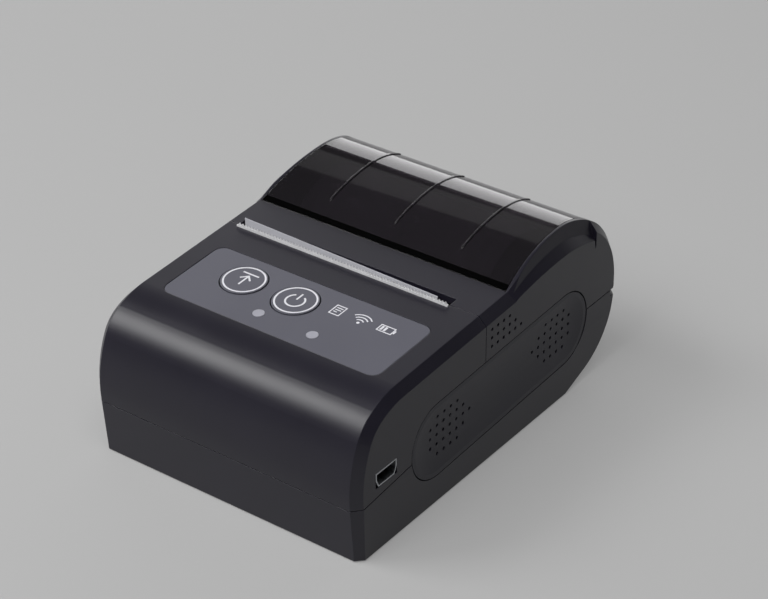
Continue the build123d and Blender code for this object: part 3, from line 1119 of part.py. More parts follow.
def build_electronics():
    """Main board with its parts, the mini-USB socket, and the flat cables."""
    board = box(-BOARD_HALF_WIDTH, BOARD_HALF_WIDTH, BOARD_FRONT_Y, BOARD_REAR_Y, BOARD_BOTTOM_Z, BOARD_TOP_Z)
    screws = Part()
    for x, y in four_corners([POST_FRONT, POST_REAR]):
        board -= post(x, y, 0, FAR, POST_RADIUS + POST_GAP)
    for x, y in four_corners([(STANDOFF_X, y) for y in STANDOFF_Y]):
        board -= post(x, y, 0, FAR, BOARD_SCREW_RADIUS + SCREW_HOLE_GAP)
        screws += post(x, y, BOARD_TOP_Z, BOARD_TOP_Z + BOARD_SCREW_HEAD_HEIGHT, BOARD_SCREW_HEAD)
        screws += post(x, y, BOARD_TOP_Z - BOARD_SCREW_LENGTH, BOARD_TOP_Z, BOARD_SCREW_RADIUS)
    keep("main_board", board)
    keep("board_screws", screws)

    def chip(place, size, base_z=BOARD_TOP_Z):
        x, y = place
        return box(x - size[0] / 2, x + size[0] / 2, y - size[1] / 2, y + size[1] / 2,
                   base_z, base_z + size[2])

    wireless_at, processor_at, coil_at, buzzer_at = (
        (x, BOARD_FRONT_Y + back) for x, back in (WIRELESS_AT, PROCESSOR_AT, COIL_AT, BUZZER_AT))
    keep("wireless_board", chip(wireless_at, WIRELESS_SIZE))
    shield_y = wireless_at[1] + (WIRELESS_SIZE[1] - SHIELD_SIZE[1]) / 2 - SHIELD_REAR_IN
    keep("wireless_shield", chip((wireless_at[0], shield_y), SHIELD_SIZE, BOARD_TOP_Z + WIRELESS_SIZE[2]))
    keep("processor", chip(processor_at, PROCESSOR_SIZE))
    keep("motor_driver", chip((DRIVER_X, CONNECTOR_REAR_Y - DRIVER_AHEAD), DRIVER_SIZE))
    keep("power_coil", post(*coil_at, BOARD_TOP_Z, BOARD_TOP_Z + COIL_HEIGHT, COIL_RADIUS))
    buzzer_top = BOARD_TOP_Z + BUZZER_HEIGHT
    keep("buzzer", post(*buzzer_at, BOARD_TOP_Z, buzzer_top, BUZZER_RADIUS)
         - post(*buzzer_at, buzzer_top - BUZZER_MOUTH[1], FAR, BUZZER_MOUTH[0]))
    deep, wide, high = SOCKET_SIZE
    right, left = HALF_WIDTH, HALF_WIDTH - deep
    mid_z = BOARD_TOP_Z + high / 2
    lower_half = wide / 2 - SOCKET_CORNER

    def mouth(inset, x_from):
        outline = Polyline((SOCKET_Y - wide / 2 + inset, BOARD_TOP_Z + high - inset),
                           (SOCKET_Y + wide / 2 - inset, BOARD_TOP_Z + high - inset),
                           (SOCKET_Y + wide / 2 - inset, mid_z),
                           (SOCKET_Y + lower_half - inset / 2, BOARD_TOP_Z + inset),
                           (SOCKET_Y - lower_half + inset / 2, BOARD_TOP_Z + inset),
                           (SOCKET_Y - wide / 2 + inset, mid_z), close=True)
        return side_prism(make_face(outline), x_from, right)

    socket = mouth(0, left) - mouth(SOCKET_METAL, left + SOCKET_BACK)
    keep("mini_usb_socket", socket)
    tongue = box(left + SOCKET_BACK, left + SOCKET_BACK + SOCKET_TONGUE[0], SOCKET_Y - SOCKET_TONGUE[1] / 2,
                 SOCKET_Y + SOCKET_TONGUE[1] / 2, mid_z, mid_z + SOCKET_TONGUE[2])
    keep("mini_usb_tongue", tongue)

    mouth_z = BOARD_TOP_Z + CONNECTOR_MOUTH_Z
    keep("head_connector", connector(HEAD_RIBBON, mouth_z))
    keep("motor_connector", connector(MOTOR_RIBBON, mouth_z))
    inside_y = CONNECTOR_REAR_Y - CONNECTOR_DEPTH / 2
    head_path = [(PIVOT_Y, SINK_BOTTOM_Z - HEAD_RIBBON_GAP), (PIVOT_Y - 2, SINK_BOTTOM_Z - 6),
                 (PIVOT_Y - 8, mouth_z + 3), (CONNECTOR_REAR_Y + 3, mouth_z), (inside_y, mouth_z)]
    keep("head_cable", ribbon(head_path, HEAD_RIBBON))
    tab_y = MOTOR_Y - MOTOR_RADIUS - MOTOR_TAB[0]
    motor_path = [(tab_y + 0.4, MOTOR_Z - MOTOR_TAB[2] / 2), (tab_y + 0.2, mouth_z + 1),
                  (CONNECTOR_REAR_Y + 1, mouth_z), (inside_y, mouth_z)]
    keep("motor_cable", ribbon(motor_path, MOTOR_RIBBON))
    underside = top_z(KEY_RIBBON_Y) - KEY_BOARD_DEPTH - KEY_BOARD_THICKNESS
    half_way = (underside + BOARD_TOP_Z) / 2
    key_path = [(KEY_RIBBON_Y, underside + 1), (KEY_RIBBON_Y + 3, half_way + 2),
                (KEY_RIBBON_Y + 3, half_way - 2), (KEY_RIBBON_Y + 1, BOARD_TOP_Z - 1)]
    cable = ribbon(key_path, KEY_RIBBON)
    key_board_space = top_block(0, KEY_BOARD_Y, KEY_BOARD_SIZE, -FAR / 2,
                                KEY_BOARD_DEPTH + KEY_BOARD_THICKNESS)
    keep("key_cable", cable - key_board_space - box(-FAR, FAR, -FAR, FAR, 0, BOARD_TOP_Z))


def build_battery():
    """Battery, its contacts, its door and the casing screws."""
    pack = box(-BATTERY_HALF_WIDTH, BATTERY_HALF_WIDTH, BATTERY_FRONT_Y, BATTERY_REAR_Y,
               BATTERY_BOTTOM_Z, BATTERY_TOP_Z)
    keep("battery_pack", fillet(pack.edges().filter_by(Axis.Z), BATTERY_CORNER))
    half_x, half_y = CONTACT_BLOCK[0] / 2, CONTACT_BLOCK[1] / 2
    keep("battery_contacts", box(-half_x, half_x, CONTACT_Y - half_y, CONTACT_Y + half_y,
                                 BATTERY_TOP_Z, BAY_ROOF_Z))
    x0, x1, y0, y1 = door_outline()
    pivot_y, pivot_z = door_pivot()
    door = box(x0, x1, y0, pivot_y, FOOT_HEIGHT, FOOT_HEIGHT + DOOR_THICKNESS)
    door += rod(x0, x1, pivot_y, pivot_z, DOOR_BARREL_RADIUS)
    door += rod(x0 - DOOR_PIN_LENGTH, x1 + DOOR_PIN_LENGTH, pivot_y, pivot_z, DOOR_PIN_RADIUS)
    for x in (-DOOR_RIB_X, DOOR_RIB_X):
        door += box(x - DOOR_RIB_WIDTH / 2, x + DOOR_RIB_WIDTH / 2, y0 + DOOR_RIB_END_IN,
                    pivot_y - DOOR_RIB_END_IN, FOOT_HEIGHT + DOOR_THICKNESS - 0.2, BATTERY_BOTTOM_Z - 0.1)
    scoop_y = y0 + DOOR_SCOOP_RADIUS + 2
    door -= post(0, scoop_y, -1, FOOT_HEIGHT + DOOR_SCOOP_DEPTH, DOOR_SCOOP_RADIUS) \
        - box(-FAR, FAR, scoop_y, FAR, -2, FAR)
    keep("battery_door", door)
    screws = Part()
    for x, y in four_corners([POST_FRONT, POST_REAR]):
        screw = post(x, y, SCREW_SEAT_Z - SCREW_HEAD_HEIGHT, SCREW_SEAT_Z, SCREW_HEAD_RADIUS)
        screw += post(x, y, SCREW_SEAT_Z, SCREW_SEAT_Z + SCREW_LENGTH, SCREW_RADIUS)
        cross = box(x - 1, x + 1, y - 0.2, y + 0.2, 0, SCREW_SEAT_Z - SCREW_HEAD_HEIGHT + 0.6)
        cross += box(x - 0.2, x + 0.2, y - 1, y + 1, 0, SCREW_SEAT_Z - SCREW_HEAD_HEIGHT + 0.6)
        screws += screw - cross
    keep("case_screws", screws)


def build_all():
    """Builds every piece."""
    build_shells()
    build_outer_trim()
    build_keys()
    build_mechanism()
    build_paper()
    build_electronics()
    build_battery()


if __name__ == "__main__":
    build_all()
    os.makedirs("parts", exist_ok=True)
    for name, shape in NODES.items():
        export_step(shape, f"parts/{name}.step")
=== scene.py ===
"""Studio picture of a pocket receipt printer: its finishes, its print, its light and its camera."""

from __future__ import annotations

import json
import logging
import math
from dataclasses import dataclass, field
from enum import Enum
from typing import Any, Sequence

import bmesh
import bpy
from mathutils import Matrix, Vector
from mathutils.bvhtree import BVHTree

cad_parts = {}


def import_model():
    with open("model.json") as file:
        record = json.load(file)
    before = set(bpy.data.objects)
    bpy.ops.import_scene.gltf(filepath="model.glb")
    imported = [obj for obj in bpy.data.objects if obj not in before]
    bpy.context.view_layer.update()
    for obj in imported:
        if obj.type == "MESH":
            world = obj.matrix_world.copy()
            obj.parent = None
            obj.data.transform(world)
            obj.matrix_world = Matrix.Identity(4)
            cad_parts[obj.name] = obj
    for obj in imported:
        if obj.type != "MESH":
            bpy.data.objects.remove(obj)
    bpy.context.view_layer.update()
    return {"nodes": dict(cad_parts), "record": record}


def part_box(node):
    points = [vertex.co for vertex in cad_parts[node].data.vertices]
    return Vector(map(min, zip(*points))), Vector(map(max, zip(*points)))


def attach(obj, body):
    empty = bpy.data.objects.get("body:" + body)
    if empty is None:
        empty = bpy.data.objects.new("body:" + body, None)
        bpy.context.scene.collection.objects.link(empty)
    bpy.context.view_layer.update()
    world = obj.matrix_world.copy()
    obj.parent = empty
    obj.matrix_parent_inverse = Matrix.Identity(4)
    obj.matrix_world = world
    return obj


LOG = logging.getLogger("printer_scene")
MM = 0.001

# Most of a noise texture's values lie between these two.
NOISE_SPAN = (0.3, 0.7)
BEVEL_SAMPLES = 4
# A Mix node's sockets share their names, so its colours go by number.
MIX_A, MIX_B, MIX_OUT = 6, 7, 2
# Printed arcs are drawn in steps of this size, but in at least this many.
ARC_STEP_DEG = 5.0
ARC_STEPS_MIN = 12

Colour = tuple[float, float, float, float]
Triple = tuple[float, float, float]
Point = tuple[float, float]
Socket = bpy.types.NodeSocket
Tree = bpy.types.NodeTree


def linear(hex_colour: str, factor: float = 1.0) -> Colour:
    """Turns an sRGB hex colour into the linear colour that Blender's sockets take.

    Args:
        hex_colour: six hex digits.
        factor: brightens or darkens the linear colour.

    Returns:
        Red, green, blue and alpha, each 0 to 1 and linear.
    """
    channels = [int(hex_colour[i:i + 2], 16) / 255 for i in (0, 2, 4)]
    red, green, blue = (c / 12.92 if c <= 0.04045 else ((c + 0.055) / 1.055) ** 2.4 for c in channels)
    return min(1.0, red * factor), min(1.0, green * factor), min(1.0, blue * factor), 1.0


def per_metre(size_mm: float) -> float:
    """Scale of a texture whose features are to be of this size.

    Args:
        size_mm: size of one feature in millimetres.

    Returns:
        The features per metre.
    """
    return 1.0 / (size_mm * MM)


def add(tree: Tree, kind: str, inputs: dict[int | str, Any] | Sequence[Any] = (),
        **settings: Any) -> bpy.types.Node:
    """Adds one node to a tree, with its settings and links.

    Args:
        tree: the tree that the node joins.
        kind: the node's type, without Blender's prefix.
        inputs: a value or a linked socket for each input, by its number or name, or in order.
        **settings: the node's own properties.

    Returns:
        The new node.
    """
    node = tree.nodes.new(f"ShaderNode{kind}")
    for name, value in settings.items():
        setattr(node, name, value)
    for key, value in inputs.items() if isinstance(inputs, dict) else enumerate(inputs):
        if isinstance(value, Socket):
            tree.links.new(value, node.inputs[key])
        else:
            node.inputs[key].default_value = value
    return node


@dataclass(frozen=True)
class Finish:
    """What every real material here has: a name and a base colour."""

    name: str
    colour: str

    def start(self) -> tuple[bpy.types.Material, Tree, Socket]:
        """Starts an empty material.

        Returns:
            The material, its tree, and the place in the printer's frame before a joint moves the piece.
        """
        material = bpy.data.materials.new(self.name)
        material.use_nodes = True
        tree = material.node_tree
        tree.nodes.clear()
        return material, tree, add(tree, "TexCoord").outputs["Object"]

    def tints(self, factors: Point) -> tuple[Colour, Colour]:
        """The base colour times each of two factors."""
        return linear(self.colour, factors[0]), linear(self.colour, factors[1])

    def build(self) -> bpy.types.Material:
        """Builds the Blender material; each kind of finish has its own way."""
        raise NotImplementedError


@dataclass(frozen=True)
class MouldedAbs(Finish):
    """Injection-moulded plastic from a spark-eroded mould: a satin face with a broad, soft highlight.

    The mould's grain is about 0.05 mm on the real face, which the render can't show, so it is drawn
    0.2 mm wide. Melt flow clouds the colour over a centimetre or two, and hands rub the edges brighter
    and smoother: edge_turn is the cosine between the rounded and the flat normal where the rub is full
    and where it ends. The IOR, typically 1.54, is matched to this plastic's weaker shine.
    """

    roughness: float = 0.37
    ior: float = 1.47
    grain_mm: float = 0.2
    grain_depth_mm: float = 0.003
    flow_mm: float = 16.0
    flow_tints: Point = (0.85, 1.15)
    flow_roughness: float = 0.012
    edge_mm: float = 0.25
    edge_turn: Point = (0.90, 0.995)
    rub: float = 0.35
    rub_tint: float = 2.6
    rub_polish: float = 0.15

    def build(self) -> bpy.types.Material:
        """Builds the grained, edge-rubbed plastic.

        Returns:
            The material.
        """
        material, tree, place = self.start()
        flow = add(tree, "TexNoise", {"Vector": place, "Scale": per_metre(self.flow_mm), "Detail": 3.0})
        grain = add(tree, "TexNoise", {"Vector": place, "Scale": per_metre(self.grain_mm), "Detail": 2.0})
        rounded = add(tree, "Bevel", {"Radius": self.edge_mm * MM}, samples=BEVEL_SAMPLES)
        flat = add(tree, "NewGeometry")
        facing = add(tree, "VectorMath", (rounded.outputs["Normal"], flat.outputs["Normal"]),
                     operation="DOT_PRODUCT")
        rubbed = add(tree, "MapRange", (facing.outputs["Value"], *self.edge_turn, self.rub, 0.0))
        darker, lighter = self.tints(self.flow_tints)
        clouded = add(tree, "Mix", {0: flow.outputs[0], MIX_A: darker, MIX_B: lighter}, data_type="RGBA")
        worn = add(tree, "Mix", {0: rubbed.outputs[0], MIX_A: clouded.outputs[MIX_OUT],
                                 MIX_B: linear(self.colour, self.rub_tint)}, data_type="RGBA")
        even = add(tree, "MapRange", (flow.outputs[0], *NOISE_SPAN, self.roughness - self.flow_roughness,
                                      self.roughness + self.flow_roughness))
        rough = add(tree, "Math", (rubbed.outputs[0], -self.rub_polish, even.outputs[0]),
                    operation="MULTIPLY_ADD")
        relief = add(tree, "Bump", {"Height": grain.outputs[0], "Distance": self.grain_depth_mm * MM,
                                    "Normal": rounded.outputs["Normal"]})
        shader = add(tree, "BsdfPrincipled",
                     {"Base Color": worn.outputs[MIX_OUT], "Roughness": rough.outputs[0],
                      "Normal": relief.outputs[0], "IOR": self.ior})
        add(tree, "OutputMaterial", (shader.outputs[0],))
        return material


@dataclass(frozen=True)
class SmokedPolycarbonate(Finish):
    """Polished, smoke-tinted polycarbonate: sharp reflections over a dim view of what lies behind.

    The sheet's slow waves, about 20 mm long, bend the reflections, and finger grease about 5 mm wide
    dulls them. The ribs' rounded edges glint. Up to a given Y the tint is near black: a painted shade for the
    shadowed groove along the window's front edge.
    """

    roughness: float = 0.05
    ior: float = 1.58
    clear: float = 0.9
    wave_mm: float = 22.0
    wave_depth_mm: float = 0.02
    wave_tints: Point = (0.9, 1.1)
    smear_mm: float = 5.0
    smear_span: Point = (0.45, 0.75)
    smear_roughness: float = 0.03
    edge_mm: float = 0.2
    painted_shade: str = "020203"
    painted_shade_to_mm: float = 8.9

    def build(self) -> bpy.types.Material:
        """Builds the tinted window with its border.

        Returns:
            The material.
        """
        material, tree, place = self.start()
        waves = add(tree, "TexNoise", {"Vector": place, "Scale": per_metre(self.wave_mm), "Detail": 1.0})
        smears = add(tree, "TexNoise", {"Vector": place, "Scale": per_metre(self.smear_mm), "Detail": 4.0})
        darker, lighter = self.tints(self.wave_tints)
        smoke = add(tree, "Mix", {0: waves.outputs[0], MIX_A: darker, MIX_B: lighter}, data_type="RGBA")
        # Painted shade: near black up to the given Y, for the shadowed groove along the window's front edge.
        rearward = add(tree, "SeparateXYZ", (place,)).outputs[1]
        clear_of_painted_shade = add(tree, "Math", (rearward, self.painted_shade_to_mm * MM), operation="GREATER_THAN")
        tint = add(tree, "Mix", {0: clear_of_painted_shade.outputs[0], MIX_A: linear(self.painted_shade),
                                 MIX_B: smoke.outputs[MIX_OUT]}, data_type="RGBA")
        rough = add(tree, "MapRange", (smears.outputs[0], *self.smear_span, self.roughness,
                                       self.roughness + self.smear_roughness))
        rounded = add(tree, "Bevel", {"Radius": self.edge_mm * MM}, samples=BEVEL_SAMPLES)
        relief = add(tree, "Bump", {"Height": waves.outputs[0], "Distance": self.wave_depth_mm * MM,
                                    "Normal": rounded.outputs["Normal"]})
        shader = add(tree, "BsdfPrincipled",
                     {"Base Color": tint.outputs[MIX_OUT], "Roughness": rough.outputs[0],
                      "Normal": relief.outputs[0], "IOR": self.ior, "Transmission Weight": self.clear})
        add(tree, "OutputMaterial", (shader.outputs[0],))
        return material


@dataclass(frozen=True)
class PolyesterFilm(Finish):
    """Velvet-faced polyester overlay, printed on its back: a flat, even colour with a faint sparkle.

    The velvet's bumps are some 0.03 mm wide on the real film and are drawn 0.3 mm wide to show.
    """

    roughness: float = 0.36
    ior: float = 1.5
    velvet_mm: float = 0.3
    velvet_depth_mm: float = 0.003
    cloud_mm: float = 18.0
    cloud_tints: Point = (1.0, 1.1)
    cloud_roughness: float = 0.02
    edge_mm: float = 0.12

    def build(self) -> bpy.types.Material:
        """Builds the overlay film.

        Returns:
            The material.
        """
        material, tree, place = self.start()
        velvet = add(tree, "TexNoise", {"Vector": place, "Scale": per_metre(self.velvet_mm), "Detail": 2.0})
        cloud = add(tree, "TexNoise", {"Vector": place, "Scale": per_metre(self.cloud_mm), "Detail": 2.0})
        plain, lighter = self.tints(self.cloud_tints)
        colour = add(tree, "Mix", {0: cloud.outputs[0], MIX_A: plain, MIX_B: lighter}, data_type="RGBA")
        rough = add(tree, "MapRange", (cloud.outputs[0], *NOISE_SPAN, self.roughness - self.cloud_roughness,
                                       self.roughness + self.cloud_roughness))
        rounded = add(tree, "Bevel", {"Radius": self.edge_mm * MM}, samples=BEVEL_SAMPLES)
        relief = add(tree, "Bump", {"Height": velvet.outputs[0], "Distance": self.velvet_depth_mm * MM,
                                    "Normal": rounded.outputs["Normal"]})
        shader = add(tree, "BsdfPrincipled",
                     {"Base Color": colour.outputs[MIX_OUT], "Roughness": rough.outputs[0],
                      "Normal": relief.outputs[0], "IOR": self.ior})
        add(tree, "OutputMaterial", (shader.outputs[0],))
        return material


@dataclass(frozen=True)
class ScreenInk(Finish):
    """Screen-printed ink: matt and chalky, a little thinner in places, as the mesh leaves it.

    The mesh's threads are about 0.1 mm apart on the real screen and are drawn 0.25 mm apart to show.
    """

    roughness: float = 0.6
    mesh_mm: float = 0.25
    mesh_depth_mm: float = 0.004
    mesh_tints: Point = (0.85, 1.1)

    def build(self) -> bpy.types.Material:
        """Builds the ink.

        Returns:
            The material.
        """
        material, tree, place = self.start()
        mesh = add(tree, "TexNoise", {"Vector": place, "Scale": per_metre(self.mesh_mm), "Detail": 3.0})
        thinner, thicker = self.tints(self.mesh_tints)
        colour = add(tree, "Mix", {0: mesh.outputs[0], MIX_A: thinner, MIX_B: thicker}, data_type="RGBA")
        relief = add(tree, "Bump", {"Height": mesh.outputs[0], "Distance": self.mesh_depth_mm * MM})
        shader = add(tree, "BsdfPrincipled", {"Base Color": colour.outputs[MIX_OUT],
                                              "Roughness": self.roughness, "Normal": relief.outputs[0]})
        add(tree, "OutputMaterial", (shader.outputs[0],))
        return material


@dataclass(frozen=True)
class BrushedMetal(Finish):
    """Bare or plated sheet metal, ground one way: streaked highlights and duller stains.

    Grinding lines are about 0.02 mm apart on the real sheet. They are drawn 0.13 mm apart and 8 mm long.
    line_roughness is what they take from the roughness and add to it. A sheet with little metallic and a
    near-white colour, as the tear bar has, shows partly its own pale steel and partly a painted highlight for
    the light it catches.
    """

    roughness: float = 0.3
    metallic: float = 1.0
    line_mm: Triple = (8.0, 0.13, 0.13)
    line_depth_mm: float = 0.004
    line_roughness: Point = (0.07, 0.1)
    stain_mm: float = 3.0
    stain_tints: Point = (1.0, 0.75)
    edge_mm: float = 0.08

    def build(self) -> bpy.types.Material:
        """Builds the brushed metal.

        Returns:
            The material.
        """
        material, tree, place = self.start()
        scale = tuple(per_metre(size) for size in self.line_mm)
        drawn = add(tree, "Mapping", {"Vector": place, "Scale": scale})
        lines = add(tree, "TexNoise", {"Vector": drawn.outputs[0], "Scale": 1.0, "Detail": 3.0})
        stain = add(tree, "TexNoise", {"Vector": place, "Scale": per_metre(self.stain_mm), "Detail": 4.0})
        bare, stained = self.tints(self.stain_tints)
        colour = add(tree, "Mix", {0: stain.outputs[0], MIX_A: bare, MIX_B: stained}, data_type="RGBA")
        rough = add(tree, "MapRange", (lines.outputs[0], *NOISE_SPAN, self.roughness - self.line_roughness[0],
                                       self.roughness + self.line_roughness[1]))
        rounded = add(tree, "Bevel", {"Radius": self.edge_mm * MM}, samples=BEVEL_SAMPLES)
        relief = add(tree, "Bump", {"Height": lines.outputs[0], "Distance": self.line_depth_mm * MM,
                                    "Normal": rounded.outputs["Normal"]})
        shader = add(tree, "BsdfPrincipled",
                     {"Base Color": colour.outputs[MIX_OUT], "Metallic": self.metallic,
                      "Roughness": rough.outputs[0], "Normal": relief.outputs[0]})
        add(tree, "OutputMaterial", (shader.outputs[0],))
        return material


@dataclass(frozen=True)
class GlazedCeramic(Finish):
    """Fired alumina strip under a glass glaze: glossy, with small pores about 0.5 mm apart."""

    roughness: float = 0.15
    ior: float = 1.6
    pore_mm: float = 0.5
    pore_depth_mm: float = 0.01
    pore_tints: Point = (0.9, 1.1)

    def build(self) -> bpy.types.Material:
        """Builds the glazed strip.

        Returns:
            The material.
        """
        material, tree, place = self.start()
        pores = add(tree, "TexVoronoi", {"Vector": place, "Scale": per_metre(self.pore_mm)})
        darker, lighter = self.tints(self.pore_tints)
        colour = add(tree, "Mix", {0: pores.outputs[0], MIX_A: darker, MIX_B: lighter}, data_type="RGBA")
        relief = add(tree, "Bump", {"Height": pores.outputs[0], "Distance": self.pore_depth_mm * MM})
        shader = add(tree, "BsdfPrincipled",
                     {"Base Color": colour.outputs[MIX_OUT], "Roughness": self.roughness,
                      "Normal": relief.outputs[0], "IOR": self.ior})
        add(tree, "OutputMaterial", (shader.outputs[0],))
        return material


@dataclass(frozen=True)
class GroundRubber(Finish):
    """Silicone rubber ground to size: matt, with fine rings round the roller and a pale dusty bloom.

    The grinding lines, 0.1 mm apart on the real roller, are drawn 0.4 mm apart.
    """

    roughness: float = 0.75
    ground_mm: Triple = (0.4, 1.3, 1.3)
    ground_depth_mm: float = 0.012
    ground_roughness: float = 0.1
    dust_mm: float = 2.5
    dust_span: Point = (0.5, 0.8)
    dust_share: float = 0.5
    dust_tint: float = 4.0

    def build(self) -> bpy.types.Material:
        """Builds the rubber.

        Returns:
            The material.
        """
        material, tree, place = self.start()
        scale = tuple(per_metre(size) for size in self.ground_mm)
        drawn = add(tree, "Mapping", {"Vector": place, "Scale": scale})
        ground = add(tree, "TexNoise", {"Vector": drawn.outputs[0], "Scale": 1.0, "Detail": 4.0})
        dust = add(tree, "TexNoise", {"Vector": place, "Scale": per_metre(self.dust_mm), "Detail": 5.0})
        bloom = add(tree, "MapRange", (dust.outputs[0], *self.dust_span, 0.0, self.dust_share))
        bare, dusty = self.tints((1.0, self.dust_tint))
        colour = add(tree, "Mix", {0: bloom.outputs[0], MIX_A: bare, MIX_B: dusty}, data_type="RGBA")
        rough = add(tree, "MapRange", (ground.outputs[0], *NOISE_SPAN, self.roughness - self.ground_roughness,
                                       self.roughness + self.ground_roughness))
        relief = add(tree, "Bump", {"Height": ground.outputs[0], "Distance": self.ground_depth_mm * MM})
        shader = add(tree, "BsdfPrincipled", {"Base Color": colour.outputs[MIX_OUT],
                                              "Roughness": rough.outputs[0], "Normal": relief.outputs[0]})
        add(tree, "OutputMaterial", (shader.outputs[0],))
        return material


@dataclass(frozen=True)
class ThermalPaper(Finish):
    """Coated thermal paper or grey card: matt fibres about 0.5 mm long, and wound layers on a roll's ends.

    The layers are 0.06 mm thick on the real roll and are drawn 0.22 mm thick. They circle the point
    wound_at, Y and Z in millimetres.
    """

    roughness: float = 0.6
    fibre_mm: float = 0.5
    relief_mm: float = 0.01
    cloud_mm: float = 4.0
    cloud_tints: Point = (1.0, 0.88)
    wound_at: Point | None = None
    layer_mm: float = 0.22
    layer_share: float = 0.35
    layer_tint: float = 0.6

    def wind(self, tree: Tree, place: Socket, colour: Socket, height: Socket) -> tuple[Socket, Socket]:
        """Draws the roll's layers.

        Args:
            tree: the material's tree.
            place: the place in the printer's frame.
            colour: the plain paper's colour.
            height: the plain paper's relief.

        Returns:
            The colour and the relief with the layers.
        """
        middle = (0.0, self.wound_at[0] * MM, self.wound_at[1] * MM)
        from_core = add(tree, "VectorMath", (place, middle), operation="SUBTRACT")
        across = add(tree, "VectorMath", (from_core.outputs[0], (0.0, 1.0, 1.0)), operation="MULTIPLY")
        radius = add(tree, "VectorMath", (across.outputs[0],), operation="LENGTH")
        turns = add(tree, "Math", (radius.outputs["Value"], per_metre(self.layer_mm)), operation="MULTIPLY")
        wound = add(tree, "Math", (turns.outputs[0], 1.0), operation="PINGPONG")
        shade = add(tree, "Math", (wound.outputs[0], self.layer_share), operation="MULTIPLY")
        layered = add(tree, "Mix", {0: shade.outputs[0], MIX_A: colour,
                                    MIX_B: linear(self.colour, self.layer_tint)}, data_type="RGBA")
        relief = add(tree, "Math", (height, wound.outputs[0]), operation="ADD")
        return layered.outputs[MIX_OUT], relief.outputs[0]

    def build(self) -> bpy.types.Material:
        """Builds the paper, with its layers where it is wound.

        Returns:
            The material.
        """
        material, tree, place = self.start()
        fibre = add(tree, "TexNoise", {"Vector": place, "Scale": per_metre(self.fibre_mm), "Detail": 5.0})
        cloud = add(tree, "TexNoise", {"Vector": place, "Scale": per_metre(self.cloud_mm), "Detail": 3.0})
        plain, darker = self.tints(self.cloud_tints)
        clouded = add(tree, "Mix", {0: cloud.outputs[0], MIX_A: plain, MIX_B: darker}, data_type="RGBA")
        colour, height = clouded.outputs[MIX_OUT], fibre.outputs[0]
        if self.wound_at is not None:
            colour, height = self.wind(tree, place, colour, height)
        relief = add(tree, "Bump", {"Height": height, "Distance": self.relief_mm * MM})
        shader = add(tree, "BsdfPrincipled",
                     {"Base Color": colour, "Roughness": self.roughness, "Normal": relief.outputs[0]})
        add(tree, "OutputMaterial", (shader.outputs[0],))
        return material


@dataclass(frozen=True)
class SolderMask(Finish):
    """Glass-epoxy board under green solder mask: semi-gloss, with paler tracks some 1.6 mm apart."""

    roughness: float = 0.35
    track_mm: float = 1.6
    track_scatter: float = 0.6
    track_span: Point = (0.32, 0.40)
    track_share: float = 0.7
    track_tint: float = 2.2
    track_depth_mm: float = 0.03

    def build(self) -> bpy.types.Material:
        """Builds the masked board.

        Returns:
            The material.
        """
        material, tree, place = self.start()
        cells = add(tree, "TexVoronoi", {"Vector": place, "Scale": per_metre(self.track_mm),
                                         "Randomness": self.track_scatter}, distance="MANHATTAN")
        tracks = add(tree, "MapRange", (cells.outputs[0], *self.track_span, self.track_share, 0.0))
        mask, track = self.tints((1.0, self.track_tint))
        colour = add(tree, "Mix", {0: tracks.outputs[0], MIX_A: mask, MIX_B: track}, data_type="RGBA")
        relief = add(tree, "Bump", {"Height": tracks.outputs[0], "Distance": self.track_depth_mm * MM})
        shader = add(tree, "BsdfPrincipled", {"Base Color": colour.outputs[MIX_OUT],
                                              "Roughness": self.roughness, "Normal": relief.outputs[0]})
        add(tree, "OutputMaterial", (shader.outputs[0],))
        return material


@dataclass(frozen=True)
class MilkyAcrylic(Finish):
    """Moulded acrylic light pipe with a little diffuser in it: soft, pale and faintly clouded."""

    roughness: float = 0.28
    ior: float = 1.49
    milk_mm: float = 0.8
    milk_depth_mm: float = 0.004
    milk_tints: Point = (1.0, 0.85)
    edge_mm: float = 0.15

    def build(self) -> bpy.types.Material:
        """Builds the light pipe.

        Returns:
            The material.
        """
        material, tree, place = self.start()
        milk = add(tree, "TexNoise", {"Vector": place, "Scale": per_metre(self.milk_mm), "Detail": 3.0})
        plain, darker = self.tints(self.milk_tints)
        colour = add(tree, "Mix", {0: milk.outputs[0], MIX_A: plain, MIX_B: darker}, data_type="RGBA")
        rounded = add(tree, "Bevel", {"Radius": self.edge_mm * MM}, samples=BEVEL_SAMPLES)
        relief = add(tree, "Bump", {"Height": milk.outputs[0], "Distance": self.milk_depth_mm * MM,
                                    "Normal": rounded.outputs["Normal"]})
        shader = add(tree, "BsdfPrincipled",
                     {"Base Color": colour.outputs[MIX_OUT], "Roughness": self.roughness,
                      "Normal": relief.outputs[0], "IOR": self.ior})
        add(tree, "OutputMaterial", (shader.outputs[0],))
        return material


